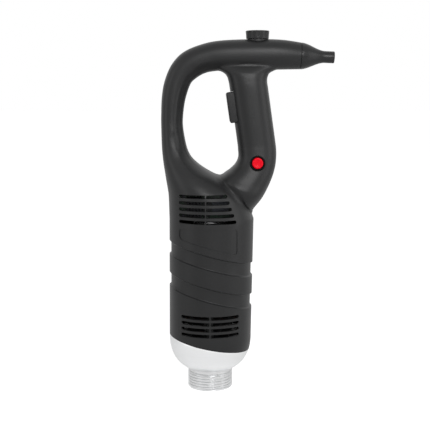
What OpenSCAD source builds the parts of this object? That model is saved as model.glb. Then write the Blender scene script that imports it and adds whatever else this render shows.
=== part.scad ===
// Motor unit of a hand-held immersion blender: a hollow two-part D-handle
// housing on a universal motor, with a cast nose cap and a threaded collar
// that the blending arm screws on to.
// The origin is the centre of the collar's lower face, +Z runs up the motor
// shaft, +X points towards the cord nozzle, and -Y is the lock button's side.

/* [Barrel] */
// Diameter of the housing where it meets the nose cap
barrel_d = 90.6; // [86:0.2:100]
// How much the barrel's radius grows from the cap to its upper edge
barrel_flare = 0.9; // [0:0.1:2]
// Sideways lean of the barrel's upper edge towards the grip
barrel_lean = 1.5; // [0:0.1:2]
// Wall thickness of the moulded housing
wall = 3.5; // [3.2:0.1:3.8]
// Depth of the two slanted grip bands
band_depth = 1.9; // [0.8:0.1:2.2]
// Slant of the grip bands, in degrees
band_slant = 15; // [10:1:20]
// Height of each grip band at the barrel's axis
band_h = 15; // [10:1:18]

/* [Handle] */
// How far the bow stands out beyond the barrel's radius
bow_reach = 7.7; // [4:0.1:12]
// Width of the bow, seen from the side
bow_w = 23.8; // [21:0.2:28]
// Half depth of the bow, front to back
bow_depth = 16; // [14:0.5:19]
// Strength of the bevel along the finger window's side of the bow
bow_bevel = 0.34; // [0:0.02:0.45]
// Height of the top bar's axis above the barrel's upper edge
handle_h = 177; // [170:1:190]
// Radius of the top bar below the knob
bar_r = 16.4; // [15.5:0.1:18]
// Half depth of the top bar, front to back
bar_depth = 18; // [16.5:0.5:20]
// Left edge of the grip, level with the trigger
grip_x = 24.1; // [20:0.1:28]
// Place of the trigger's middle, as a share of the handle's height
trigger_share = 0.6836; // [0.67:0.0002:0.7]
// Width of the grip, seen from the side
grip_w = 41.4; // [38:0.2:46]
// Half depth of the grip, front to back
grip_depth = 20; // [18.5:0.5:23]
// Slant of the grip, in degrees
grip_tilt = 8.2; // [6:0.2:10]

/* [Vents] */
// Height of each air slot
slot_h = 3.8; // [2.5:0.1:4.5]
// Spacing of the upper air slots
upper_pitch = 6.8; // [6:0.1:8]
// Spacing of the lower air slots
lower_pitch = 6.5; // [6:0.1:7]

/* [Controls] */
// Diameter of the speed knob
knob_d = 25.4; // [20:0.2:28]
// Height of the speed knob
knob_h = 8.6; // [6:0.2:12]
// Place of the speed knob along the bar
knob_x = 50.8; // [46:0.2:56]
// Length of the trigger along the grip
trigger_l = 33; // [26:0.5:36]
// Width of the trigger, front to back
trigger_w = 26; // [22:0.5:27]
// How far the trigger stands out of the grip
trigger_out = 5; // [4.5:0.1:6]
// Travel of the trigger
trigger_travel = 4; // [2:0.1:4]
// Diameter of the lock button
button_d = 13.4; // [10:0.2:15]
// How far the lock button stands out of its bezel
button_out = 2.4; // [2.2:0.1:4]
// Travel of the lock button
button_travel = 2; // [1:0.1:2]

/* [Cord nozzle] */
// Place of the seam between the bar and the nozzle
seam_x = 97; // [92:0.5:102]
// Radius of the bar and the nozzle at their seam
seam_r = 14.2; // [13.2:0.1:15]
// Length of the nozzle beyond the seam
nozzle_l = 36.4; // [30:0.2:44]
// How far the nozzle dips, in degrees
nozzle_tilt = 2.5; // [0:0.5:4]
// Outer radius of the nozzle's straight end
nozzle_end_r = 6.3; // [5.6:0.1:7.5]
// Radius of the hole for the cord
cord_r = 4.2; // [3:0.1:4.6]

/* [Nose cap and collar] */
// Height of the slanted joint between cap and housing, on the axis
joint_z = 52.3; // [50:0.1:55]
// Slant of that joint, in degrees
joint_slant = 11; // [6:0.5:12]
// Height where the cap's curve starts to turn inwards
curve_z = 61; // [59:0.5:64]
// Outer radius of the threaded collar
collar_r = 25; // [24:0.1:26]
// Height of the threaded collar below the cap
collar_h = 21.6; // [20:0.1:23]
// Radius of the collar's bore
bore_r = 19; // [17:0.1:20]
// Depth of the collar's open bore
bore_l = 14; // [12:0.5:16]

/* [Motor] */
// Space from the housing's outside, at the cap, to the stator
stator_inset = 9.3; // [8.3:0.1:11.3]
// Depth from the stator's outside to the armature
field_depth = 14; // [13.8:0.1:16]
// Height of the laminated stack
stack_h = 40; // [34:1:46]
// Space above the laminated stack, up to the barrel's straight upper edge
motor_room = 58; // [55:1:64]
// Radius of the motor shaft in its lower bearing
shaft_r = 6; // [5:0.1:6.4]
// Space from the stator's outside to the tips of the cooling fan
fan_inset = 6; // [5:0.2:10]
// Number of fan blades
fan_blades = 9; // [6:1:11]
// Number of armature slots
armature_slots = 12; // [8:1:14]

/* [Hidden] */

gap = 0.3;          // clearance between pieces that move past each other
seat = 0.02;        // clearance of a round piece that sits in a bore
eps = 0.01;         // overshoot of a cut past a face
round_fn = 28;      // sides of the housing's skin
inner_fn = 16;      // sides of the housing's cavity
slot_fn = 6;        // sides of an air slot's ends, with a flat above and below
steps = 2;          // rings from one station of the skin to the next

barrel_r = barrel_d / 2;
top_r = barrel_r + barrel_flare;
stack_z = curve_z + 31;                     // height of the laminated stack's foot
barrel_top = stack_z + stack_h + motor_room;    // height of the barrel's straight upper edge
bar_z = barrel_top + handle_h;              // height of the top bar's axis
grip_z = barrel_top + trigger_share * handle_h; // height of the trigger's middle
stator_r = barrel_r - stator_inset;
armature_r = stator_r - field_depth;
fan_r = stator_r - fan_inset;
left_x = barrel_lean - top_r;
right_x = barrel_lean + top_r;
bow_x = -barrel_r - bow_reach;
nozzle_z = bar_z - 1.3;
cap_drop = 43;      // half height of the cap's curve
cap_power = 2.5;    // squareness of the cap's curve

// ---------- curves and skins ----------

// Radius of the housing and cap at height z: a squared-off ellipse below
// curve_z, and a slight cone above it.
function skin_r(z) = z < curve_z
    ? barrel_r * pow(1 - pow((curve_z - z) / cap_drop, cap_power), 1 / cap_power)
    : barrel_r + barrel_flare * (z - curve_z) / (barrel_top - curve_z);

// Sideways shift of the barrel's centre at height z.
function lean(z) = z < curve_z ? 0 : barrel_lean * (z - curve_z) / (barrel_top - curve_z);

// One turn of a squared-off ellipse of half sizes 1, as n points.
function unit_oval(power, n) = [for (i = [0 : n - 1]) let (c = cos(360 * i / n), s = sin(360 * i / n))
    [sign(c) * pow(abs(c), 2 / power), sign(s) * pow(abs(s), 2 / power)]];

// A station is [outer x, outer z, inner x, inner z, half depth, squareness, bevel].
// It is drawn in by w on every side.
function drawn_in(s, w) = let (d = [s[2] - s[0], s[3] - s[1]], u = d / norm(d))
    [s[0] + w * u[0], s[1] + w * u[1], s[2] - w * u[0], s[3] - w * u[1], s[4] - w, s[5], s[6]];

// The bevel's share at place x across a station, from 0 at bevel_from to 1 at
// bevel_to. Both are shares of the half width, on the finger window's side.
bevel_from = 0.28;
bevel_to = 0.78;
function bevelled(x) = max(0, min(1, (-x - bevel_from) / (bevel_to - bevel_from)));

// The ring of n points of a station, k times its true size.
function ring(s, n, k = 1) = let (mid = [s[0] + s[2], s[1] + s[3]] / 2, arm = [s[0] - s[2], s[1] - s[3]] / 2)
    [for (p = unit_oval(s[5], n)) let (deep = p[1] * (1 - s[6] * bevelled(p[0])))
        [mid[0] + k * p[0] * arm[0], k * deep * s[4], mid[1] + k * p[0] * arm[1]]];

// A smooth curve through the stations, with k steps between each two.
function between(a, b, c, d, t) = 0.5 * (2 * b + (c - a) * t + (2 * a - 5 * b + 4 * c - d) * t * t
    + (3 * b - a - 3 * c + d) * t * t * t);
function smooth(list, k) = let (last = len(list) - 1)
    [for (i = [0 : last - 1]) for (j = [0 : k - 1])
        between(list[max(i - 1, 0)], list[i], list[i + 1], list[min(i + 2, last)], j / k),
     list[last]];

// A closed solid through rings of the same number of points.
module skin(rings) {
    n = len(rings[0]);
    m = len(rings);
    first = [for (i = [0 : n - 1]) n - 1 - i];
    last = [for (i = [0 : n - 1]) (m - 1) * n + i];
    sides = [for (k = [0 : m - 2]) for (i = [0 : n - 1]) for (half = [0, 1])
        let (a = k * n + i, b = k * n + (i + 1) % n)
        half == 0 ? [a, b + n, a + n] : [a, b, b + n]];
    polyhedron(points = [for (r = rings) each r], faces = concat([first], sides, [last]));
}

// ---------- the housing's outline ----------

// A round station of the barrel at height z, drawn in by w.
function barrel_station(z, w) = let (r = skin_r(z))
    drawn_in([lean(z) - r, z, lean(z) + r, z, r, 2, 0], w);

// Barrel below its straight upper edge, as stations.
barrel_stations = [for (z = [38, 42, 46, 50, 54, 58, curve_z]) barrel_station(z, 0)];

bow_low_z = barrel_top + 0.565 * handle_h;      // lower end of the bow's straight part
bow_high_z = barrel_top + 0.6384 * handle_h;    // upper end of that part
// Shoulder, bow and top bar, from the barrel round to the nozzle's seam.
bow_stations = [
    [left_x, barrel_top, right_x, barrel_top, top_r, 2, 0],
    [left_x - 0.7, barrel_top + 24, right_x - 9.7, barrel_top + 25, 45, 2.05, 0],
    [left_x - 1.9, barrel_top + 34, right_x - 23.7, barrel_top + 37, 42, 2.1, 0],
    [left_x - 3.3, barrel_top + 42.5, right_x - 39, barrel_top + 46.8, 37, 2.2, 0.05 * bow_bevel],
    [left_x - 4.6, barrel_top + 51, right_x - 51.7, barrel_top + 54, 31.5, 2.3, 0.25 * bow_bevel],
    [left_x - 5.9, barrel_top + 59.6, right_x - 62.2, barrel_top + 61.6, 26, 2.4, 0.5 * bow_bevel],
    [bow_x + 1.3, barrel_top + 69, bow_x + bow_w + 7.7, barrel_top + 69.4, 21.5, 2.5, 0.75 * bow_bevel],
    [bow_x + 0.5, barrel_top + 80, bow_x + bow_w + 3.4, barrel_top + 80, bow_depth + 2.5, 2.5,
        0.9 * bow_bevel],
    [bow_x, bow_low_z, bow_x + bow_w, bow_low_z - 1, bow_depth + 0.5, 2.5, bow_bevel],
    [bow_x, bow_high_z, bow_x + bow_w, bow_high_z - 1, bow_depth, 2.5, bow_bevel],
    [bow_x + 1, bar_z - 44, bow_x + bow_w + 2.4, bar_z - 48, bow_depth, 2.5, bow_bevel],
    [bow_x + 4.3, bar_z - 27, bow_x + bow_w + 7.7, bar_z - 32, bow_depth, 2.4, bow_bevel],
    [bow_x + 12, bar_z - 10, bow_x + bow_w + 13.2, bar_z - 25.7, bow_depth + 0.3, 2.4, 0.9 * bow_bevel],
    [bow_x + 24.7, bar_z + 2.9, bow_x + bow_w + 22.2, bar_z - 20.2, bow_depth + 0.8, 2.3, 0.8 * bow_bevel],
    [bow_x + 45, bar_z + 11.3, bow_x + bow_w + 32.2, bar_z - 17.7, bow_depth + 1.3, 2.3, 0.7 * bow_bevel],
    [bow_x + 66.8, bar_z + 15.2, bow_x + bow_w + 46.2, bar_z - 16.8, bar_depth, 2.3, 0.6 * bow_bevel],
    [knob_x, bar_z + bar_r, knob_x, bar_z - bar_r, bar_depth, 2.3, 0.45 * bow_bevel],
    [seam_x - 20, bar_z + bar_r - 0.6, seam_x - 20, bar_z - bar_r + 0.6, bar_depth - 1.2, 2.2,
        0.25 * bow_bevel],
    [seam_x + seam_r * sin(nozzle_tilt), nozzle_z + seam_r * cos(nozzle_tilt),
        seam_x - seam_r * sin(nozzle_tilt), nozzle_z - seam_r * cos(nozzle_tilt), seam_r, 2, 0]];

// Left and right edge of the grip at height z.
function grip_left(z) = grip_x + (grip_z - z) * tan(grip_tilt);
function grip_right(z) = grip_left(z) + grip_w;
// A station of the grip, widened by dl and dr on its two sides.
function grip_station(z, dl, dr, depth) = [grip_left(z) - dl, z, grip_right(z) + dr, z, depth, 2.5, 0];

// Grip, from its swollen foot on the shoulder up into the bar.
grip_stations = [
    [right_x - 31, barrel_top + 39, right_x - 2, barrel_top + 13, grip_depth + 8, 2.4, 0],
    [right_x - 36.6, barrel_top + 40, right_x + 2.8, barrel_top + 15, grip_depth + 12, 2.5, 0],
    [right_x - 38.4, barrel_top + 44, right_x + 8.8, barrel_top + 22.5, grip_depth + 12, 2.5, 0],
    [right_x - 33.7, barrel_top + 49, right_x + 15.3, barrel_top + 34.5, grip_depth + 9, 2.5, 0],
    [right_x - 26.2, barrel_top + 54.3, right_x + 20.3, barrel_top + 46.5, grip_depth + 6, 2.5, 0],
    [right_x - 20.2, barrel_top + 60.4, right_x + 23.2, barrel_top + 57.5, grip_depth + 3.5, 2.5, 0],
    grip_station(barrel_top + 67.5, 1.3, -1.3, grip_depth + 2),
    grip_station(barrel_top + 76, 0.3, -0.2, grip_depth + 1.1),
    grip_station(barrel_top + 85, 0, 0, grip_depth + 0.6),
    grip_station(grip_z, 0, 0, grip_depth),
    grip_station(bar_z - 36, 0, 0, grip_depth - 0.2),
    grip_station(bar_z - 28.5, 0.2, 0, grip_depth - 0.6),
    grip_station(bar_z - 22.6, 1.4, 1.6, grip_depth - 1.2),
    grip_station(bar_z - 18.3, 5.5, 5.9, bar_depth - 0.6),
    grip_station(bar_z - 11, 18, 24, bar_depth - 5)];

// Solid outline of the whole housing.
module outline() {
    skin([for (s = concat(barrel_stations, smooth(bow_stations, steps))) ring(s, round_fn)]);
    skin([for (s = smooth(grip_stations, steps)) ring(s, round_fn)]);
}

// The grip's stations without its closed foot, for its inside.
hollow_stations = concat([smooth(grip_stations, 2)[3]],
    [for (i = [2 : len(grip_stations) - 1]) grip_stations[i]]);

// The same drawn in by w, with fewer sides, which clear the true inner size.
module cavity(w) {
    k = 1 / cos(180 / inner_fn);
    skin([for (s = concat(barrel_stations, bow_stations)) ring(drawn_in(s, w), inner_fn, k)]);
    skin([for (s = hollow_stations) ring(drawn_in(s, w), inner_fn, k)]);
}

// Puts children on the slanted joint, raised by dz.
module at_joint(dz = 0) {
    translate([0, 0, joint_z + dz]) rotate([0, joint_slant, 0]) children();
}

// A block wider than the whole part, from its own z = 0 up or down.
module block(up) {
    big = 1000;
    translate([-big / 2, -big / 2, up ? 0 : -big]) cube(big);
}

// ---------- cuts in the housing ----------

deep = 60;                         // depth of a cut from the middle plane to beyond either side
lower_band_z = joint_z + 59.5;     // height of the lower grip band, on the axis
upper_band_z = joint_z + 94.6;     // height of the upper grip band, on the axis

// Slanted ring of material that a grip band takes away, z at the axis.
module band_cut(z) {
    difference() {
        translate([0, 0, z]) rotate([0, band_slant, 0])
            translate([-deep, -deep, -band_h / 2]) cube([2 * deep, 2 * deep, band_h]);
        skin([for (h = [curve_z, barrel_top]) ring(barrel_station(h, band_depth), round_fn)]);
    }
}

// A straight air slot through the -Y or +Y wall, from x0 to x1 at height z.
module slot(x0, x1, z) {
    hull() for (x = [x0 + slot_h / 2, x1 - slot_h / 2])
        translate([x, 0, z]) rotate([90, 0, 0])
            cylinder(h = deep, d = slot_h / cos(180 / slot_fn), $fn = slot_fn);
}

slot_reach = 31;                   // half length of the lower slots
upper_slot_z = barrel_top + 0.8;   // lowest of the upper slots
lower_slot_z = joint_z + 15.6;     // lowest of the lower slots
upper_rib_x = -4.6;                // middle rib of the upper slots
rib_w = 1.8;                       // width of the middle ribs

// All slots of the -Y side. The upper ones get shorter towards the top.
module vents() {
    for (i = [0 : 4]) {
        slot(-slot_reach - 2, upper_rib_x - rib_w / 2, upper_slot_z + i * upper_pitch);
        slot(upper_rib_x + rib_w / 2, slot_reach - 3 - i * 2.4, upper_slot_z + i * upper_pitch);
    }
    for (i = [0 : 3]) {
        slot(-slot_reach, -rib_w / 2, lower_slot_z + i * lower_pitch);
        slot(rib_w / 2, slot_reach, lower_slot_z + i * lower_pitch);
    }
}

label_depth = 0.5;
label_z = upper_band_z + band_h / 2 + 8.4;  // lower edge of the recess, on the axis
// Shallow bare recess between the upper band and the upper slots.
module label_recess() {
    intersection() {
        difference() {
            translate([-33, -deep, upper_band_z]) cube([62, deep, barrel_top - upper_band_z - 7]);
            skin([for (z = [curve_z, barrel_top]) ring(barrel_station(z, label_depth), round_fn)]);
        }
        translate([0, 0, label_z]) rotate([0, band_slant, 0]) block(true);
    }
}

// ---------- housing ----------

boss_r = 3.6;
shank_r = 1.2;      // radius of the housing screws' shanks
shank_gap = 0.5;    // clearance of a shank in its through hole
head_r = 2.7;       // radius of the housing screws' heads
pilot_fn = 8;       // sides of the holes that the screws cut their thread in
function pilot(r) = r / cos(180 / pilot_fn) + seat;
boss_x = barrel_r - wall - boss_r - 1;      // bosses beside the motor
top_boss_z = grip_z + trigger_l / 2 + 9.5;  // the boss above the trigger
// Screw places as [x, z].
boss_places = [
    [bow_x + 12, (bow_low_z + bow_high_z) / 2 + 1.5],
    [bow_x + 22, bar_z - 20],
    [2, bar_z - 1],
    [seam_x - 27, bar_z - 1],
    [grip_left(top_boss_z - 4) + 9.5, top_boss_z],
    [grip_left(barrel_top + 83) + 12, barrel_top + 85],
    [right_x + 8, barrel_top + 37],
    [left_x + 9.5, barrel_top + 38],
    [-boss_x, curve_z + 15],
    [boss_x, curve_z + 15],
    [lean(barrel_top) - boss_x, barrel_top - 16],
    [lean(barrel_top) + boss_x, barrel_top - 16]];

// A round bar across the middle plane, from y0 to y1 at place p = [x, z].
module cross_bar(p, y0, y1, r, n) {
    translate([p[0], y1, p[1]]) rotate([90, 0, 0]) cylinder(h = y1 - y0, r = r, $fn = n);
}

// Puts children in the grip's own frame: +X into the grip, +Z up along it.
module in_grip() {
    translate([grip_x, 0, grip_z]) rotate([0, -grip_tilt, 0]) children();
}

// Both halves together, without what only one of them has.
module housing_body() {
    difference() {
        union() {
            difference() {
                outline();
                cavity(wall);
            }
            intersection() {
                cavity(wall / 2);
                union() {
                    for (p = boss_places) cross_bar(p, -deep, deep, boss_r, 10);
                    for (z = [stack_z + 6, stack_z + stack_h - 9]) motor_rib(z);
                    in_grip() for (side = [-1, 1]) {
                        translate([1, -trigger_w / 2, side * (trigger_l / 2 + gap + 1) - 1.2])
                            cube([flange_n - gap - 1, trigger_w, 2.4]);
                        translate([switch_n + 2, -grip_depth, side * (switch_l / 2 + gap + 1) - 1])
                            cube([10, 2 * grip_depth, 2]);
                    }
                }
            }
            translate([knob_x, 0, bar_z + bar_r - knob_pad_h])
                cylinder(h = knob_pad_h, r = knob_d / 2 - 2, $fn = 32);
        }
        for (z = [lower_band_z, upper_band_z]) band_cut(z);
        at_joint() block(false);
        at_nozzle() translate([0, 0, -spigot_l - 1.5])
            cylinder(h = 2 * spigot_l + 3, r = spigot_r + gap, $fn = 40);
        translate([knob_x, 0, bar_z]) cylinder(h = 2 * bar_r, r = bush_r + gap, $fn = 24);
        in_grip() translate([-10, -trigger_w / 2 - gap, -trigger_l / 2 - gap])
            cube([10 + flange_n, trigger_w + 2 * gap, trigger_l + 2 * gap]);
    }
}

// A ring inside the housing that holds the stator.
module motor_rib(z) {
    difference() {
        translate([0, 0, z]) cylinder(h = 3, r = barrel_r, $fn = 24);
        translate([0, 0, z - 1]) cylinder(h = 5, r = (stator_r + gap) / cos(180 / 24), $fn = 24);
        for (a = [90, 270]) rotate([0, 0, a])
            translate([stator_r - 10, -6, z - 1]) cube([20, 12, 5]);
    }
}

button_z = barrel_top + 62;
button_x = grip_left(button_z) + 18.2;
button_face = grip_depth + 2;   // depth of the grip's side at the button
button_r = button_d / 2 - gap;
bezel_r = button_d / 2 + 1.6;
guide_r = button_d / 2 + 0.7;   // outer radius of the button's guide and of the bezel's neck
// Puts children on the lock button's axis: +Z out of the housing's -Y side.
module at_button() {
    translate([button_x, 0, button_z]) rotate([90, 0, 0]) children();
}

module housing_front() color("#2b2c2e") {
    difference() {
        intersection() {
            housing_body();
            rotate([90, 0, 0]) block(true);
        }
        vents();
        label_recess();
        for (p = boss_places) cross_bar(p, -screw_grip - 1, eps, pilot(shank_r), pilot_fn);
        at_button() {
            cylinder(h = deep, r = guide_r + gap, $fn = 32);
            translate([0, 0, button_face - gap]) cylinder(h = 20, r = bezel_r + gap, $fn = 32);
        }
    }
}

well_y = 11;        // floor of the wells for the screw heads, from the middle plane
screw_grip = 8;     // how far the housing screws reach into the front half
small_grip = 4.5;   // how far the small screws reach into their posts
module housing_rear() color("#2b2c2e") {
    difference() {
        union() {
            intersection() {
                housing_body();
                rotate([90, 0, 0]) block(false);
            }
            intersection() {
                cavity(wall / 2);
                union() {
                    for (p = board_posts) cross_bar(p, board_back, deep, 2.6, 10);
                    at_clamp_holes() cylinder(h = deep, r = 3, $fn = 10);
                }
            }
        }
        at_clamp_holes() translate([0, 0, -eps])
            cylinder(h = small_grip + 1, r = pilot(small_r), $fn = pilot_fn);
        for (p = board_posts)
            cross_bar(p, board_back - eps, board_back + small_grip + 1, pilot(small_r), pilot_fn);
        mirror([0, 1, 0]) vents();
        for (p = boss_places) {
            cross_bar(p, -eps, 20, shank_r + shank_gap, 8);
            cross_bar(p, well_y, deep, head_r + 0.2, 12);
        }
    }
}

module housing_screws() color("silver") for (p = boss_places) {
    cross_bar(p, well_y, well_y + 2, head_r, 24);
    cross_bar(p, -screw_grip, well_y + 1, shank_r, 24);
}

// ---------- nose cap and collar ----------

cap_wall = 6.2;
cap_floor = 30;     // height of the flat floor inside the cap
cap_lip = 4;        // how far the cap's lip stands up inside the housing
flange_t = 4;       // thickness of the collar's flange
flange_r = collar_r + 4.2;          // radius of that flange
neck_r = collar_r - 1.2;            // radius of the collar where it passes the cap
collar_screw_r = collar_r + 1.6;    // distance of the collar's screws from the axis
post_r = barrel_r - 11.8;           // distance of the cap's posts from the axis
bracket_z = 50;     // height of the lower bracket's plate
bracket_t = 5;      // thickness of that plate

// Profile of the cap's outside, drawn in by w, up to height top. It is never
// narrower than least.
function cap_profile(w, low, top, least = 0.5) = [for (i = [0 : 20]) let (z = low + (top - low) * i / 20)
    [max(skin_r(z) - w, least), z]];

module nose_cap() color("#c9cbcd") difference() {
    union() {
        difference() {
            rotate_extrude($fn = 96)
                polygon(concat([[0, collar_h]], cap_profile(0, collar_h, 66), [[0, 66]]));
            at_joint() block(true);
        }
        difference() {
            rotate_extrude($fn = 96)
                polygon(concat([[0, 38]], cap_profile(wall + gap, 38, 68), [[0, 68]]));
            at_joint(cap_lip) block(true);
        }
    }
    difference() {
        rotate_extrude($fn = 96)
            polygon(concat([[0, cap_floor]], cap_profile(cap_wall, cap_floor, 80, flange_r + gap),
                [[0, 80]]));
        for (a = [45 : 90 : 315]) rotate([0, 0, a]) translate([post_r, 0, cap_floor - 1])
            cylinder(h = bracket_z - cap_floor + 1, r = 3.6, $fn = 32);
    }
    translate([0, 0, 10]) cylinder(h = cap_floor, r = neck_r + gap, $fn = 64);
    for (a = [45 : 90 : 315]) rotate([0, 0, a])
        translate([post_r, 0, bracket_z - 12]) cylinder(h = 13, r = 1.6, $fn = 24);
    for (a = [0 : 90 : 270]) rotate([0, 0, a])
        translate([collar_screw_r, 0, cap_floor - 5]) cylinder(h = 6, r = 1.3, $fn = 24);
}

module cap_screws() color("silver") for (a = [45 : 90 : 315]) rotate([0, 0, a])
    translate([post_r, 0, bracket_z]) {
        translate([0, 0, bracket_t]) cylinder(h = 2.4, r = 3, $fn = 32);
        translate([0, 0, -10]) cylinder(h = bracket_t + 11, r = 1.6 - seat, $fn = 32);
    }

module threaded_collar() color("#d4d6d8") difference() {
    union() {
        translate([0, 0, 1.2]) cylinder(h = collar_h - 4.2, r = collar_r, $fn = 96);
        cylinder(h = 1.2, r1 = neck_r, r2 = collar_r, $fn = 96);
        translate([0, 0, 1]) cylinder(h = cap_floor - 1, r = neck_r, $fn = 96);
        translate([0, 0, cap_floor]) cylinder(h = flange_t, r = flange_r, $fn = 96);
    }
    translate([0, 0, -1]) cylinder(h = bore_l + 1, r = bore_r, $fn = 96);
    translate([0, 0, bore_l - 1]) cylinder(h = 40, r = socket_r + 2.5, $fn = 64);
    for (a = [0 : 90 : 270]) rotate([0, 0, a])
        translate([collar_screw_r, 0, cap_floor - 1]) cylinder(h = 8, r = 1.5, $fn = 24);
}

module collar_screws() color("silver") for (a = [0 : 90 : 270]) rotate([0, 0, a])
    translate([collar_screw_r, 0, 0]) {
        translate([0, 0, cap_floor + flange_t]) cylinder(h = 2, r = 2.3, $fn = 32);
        translate([0, 0, cap_floor - 4.5]) cylinder(h = flange_t + 5, r = 1.3 - seat, $fn = 32);
    }

// ---------- cord nozzle ----------

spigot_r = seam_r - wall;
spigot_l = 4.5;     // how far the nozzle reaches into the bar
// Puts children at the seam between bar and nozzle, with +Z out along the nozzle.
module at_nozzle() {
    translate([seam_x, 0, nozzle_z]) rotate([0, 90 + nozzle_tilt, 0]) children();
}

// Radius of the nozzle at distance d from the seam: a smooth S between its two ends.
function nozzle_r(d) = let (t = min(1, d / (nozzle_l - 10)), s = t * t * (3 - 2 * t))
    seam_r + (nozzle_end_r - seam_r) * s;

function nozzle_point(d) = [nozzle_r(d), max(d, gap)];
cord_grip_l = 14;   // length of the narrow part of the cord's hole

module cord_nozzle() color("#2b2c2e") at_nozzle() rotate_extrude($fn = 64) difference() {
    union() {
        polygon(concat([[0, gap]], [for (i = [0 : 18]) nozzle_point(nozzle_l * i / 18)], [[0, nozzle_l]]));
        translate([0, -spigot_l]) square([spigot_r, spigot_l + 1]);
    }
    translate([-1, -spigot_l - 1]) square([1 + cord_r, nozzle_l + spigot_l + 2]);
    polygon([[0, -spigot_l - 1], [spigot_r - 2.3, -spigot_l - 1], [spigot_r - 2.3, 4],
        [cord_r, nozzle_l - cord_grip_l], [0, nozzle_l - cord_grip_l]]);
}

clamp_y = cord_r + 2.7;     // distance of the clamp's screws from the cord's axis
clamp_h = clamp_y + 2.3;    // half length of the clamp
clamp_t = 2.6;              // clamp's thickness over the cord
// Puts children on the cord's axis in the bar: +X down across the cord, +Z along it.
module at_clamp() {
    at_nozzle() translate([0, 0, -spigot_l - 13]) children();
}

// Puts children on both screws of the clamp: +Z into the rear half.
module at_clamp_holes() {
    at_clamp() for (s = [-1, 1]) translate([s * clamp_y, 0, 0]) rotate([-90, 0, 0]) children();
}

module cord_clamp() color("#2b2c2e") difference() {
    at_clamp() translate([-clamp_h, -cord_r - clamp_t, -3.5]) cube([2 * clamp_h, cord_r + clamp_t, 7]);
    at_clamp() translate([0, 0, -5]) cylinder(h = 10, r = cord_r + 0.1, $fn = 40);
    at_clamp_holes() translate([0, 0, -10]) cylinder(h = 20, r = small_r + shank_gap, $fn = 24);
}

small_r = 1.1;      // radius of the small screws' shanks
small_head_r = 2.1;
small_head_h = 1.4;
module cord_clamp_screws() color("silver") at_clamp_holes() {
    translate([0, 0, -cord_r - clamp_t - small_head_h])
        cylinder(h = small_head_h, r = small_head_r, $fn = 32);
    translate([0, 0, -cord_r - clamp_t - 0.4])
        cylinder(h = cord_r + clamp_t + 0.4 + small_grip, r = small_r, $fn = 24);
}

// ---------- speed control ----------

knob_z = bar_z + bar_r + gap;
knob_pad_h = 6;     // thickness of the flat pad under the knob
dial_shaft_r = 3;
dial_nut_h = 2.4;
knob_flutes = 8;
flute_r = 10;       // radius of the hollow of each flute
flute_depth = 0.6;
module speed_knob() color("#2b2c2e") translate([knob_x, 0, knob_z]) difference() {
    union() {
        cylinder(h = knob_h - 0.8, r1 = knob_d / 2 - 0.6, r2 = knob_d / 2, $fn = 96);
        translate([0, 0, knob_h - 0.8]) cylinder(h = 0.8, r1 = knob_d / 2, r2 = knob_d / 2 - 0.8, $fn = 96);
    }
    translate([0, 0, -1]) cylinder(h = knob_h - 1.6, r = dial_shaft_r + seat, $fn = 48);
    translate([0, 0, -1]) cylinder(h = dial_nut_h + 1 + gap, r = 8, $fn = 64);
    for (i = [0 : knob_flutes - 1]) rotate([0, 0, 360 * i / knob_flutes - 90])
        translate([knob_d / 2 + flute_r - flute_depth, 0, 1])
            cylinder(h = knob_h - 2.4, r = flute_r, $fn = 64);
}

control_h = 7;      // height of the speed control's case
control_z = bar_z + bar_r - knob_pad_h - gap - control_h;
bush_r = 4.3;       // radius of the threaded bush on the case
module speed_dial_shaft() color("silver") translate([knob_x, 0, control_z + control_h]) difference() {
    cylinder(h = knob_z + knob_h - 2.7 - control_z - control_h, r = dial_shaft_r, $fn = 48);
    translate([-5, 1.8, 10]) cube([10, 5, 20]);
}

module speed_control_body() color("#3f5f6b") translate([knob_x, 0, control_z]) {
    difference() {
        union() {
            cylinder(h = control_h, r = 8.5, $fn = 64);
            cylinder(h = control_h + gap + knob_pad_h + dial_nut_h, r = bush_r, $fn = 48);
        }
        translate([0, 0, control_h - 0.3]) cylinder(h = 20, r = dial_shaft_r + 0.05, $fn = 48);
    }
    for (y = [-5, 0, 5]) translate([-12.5, y - 1, 1]) cube([6, 2, 0.8]);
}
module dial_nut() color("silver") translate([knob_x, 0, bar_z + bar_r]) difference() {
    cylinder(h = dial_nut_h, r = 7, $fn = 6);
    translate([0, 0, -1]) cylinder(h = 5, r = bush_r + seat, $fn = 48);
}

// ---------- trigger and switch ----------

// Depths in the grip count from its left edge.
flange_n = wall + 5.5;      // depth of the trigger's inner flange
lip_t = 2;                  // thickness of that flange
switch_n = flange_n + lip_t + trigger_travel + 1.5;     // depth of the switch's face
switch_l = 34;
plunger_r = 1.5;
module trigger() color("#303133") in_grip() difference() {
    union() {
        translate([-trigger_out, -trigger_w / 2, -trigger_l / 2])
            cube([trigger_out + flange_n + 0.5, trigger_w, trigger_l]);
        translate([flange_n, -trigger_w / 2, -trigger_l / 2 - 2]) cube([lip_t, trigger_w, trigger_l + 4]);
    }
    translate([flange_n - 3, 0, 0]) rotate([0, 90, 0]) cylinder(h = 12, r = 4.4, $fn = 48);
    translate([flange_n - 7, 0, 0]) rotate([0, 90, 0]) cylinder(h = 12, r = plunger_r + seat, $fn = 32);
}

module switch_plunger() color("#d9d9d2") in_grip() translate([flange_n - 6.8, 0, 0]) rotate([0, 90, 0])
    cylinder(h = switch_n - flange_n + 8, r = plunger_r, $fn = 32);

spring_r = 3.4;
module trigger_spring() color("silver") in_grip() {
    translate([flange_n - 2.9, 0, 0]) rotate([0, 90, 0])
        coil(spring_r, 0.45, switch_n - flange_n + 2.8, 4);
}

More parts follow.
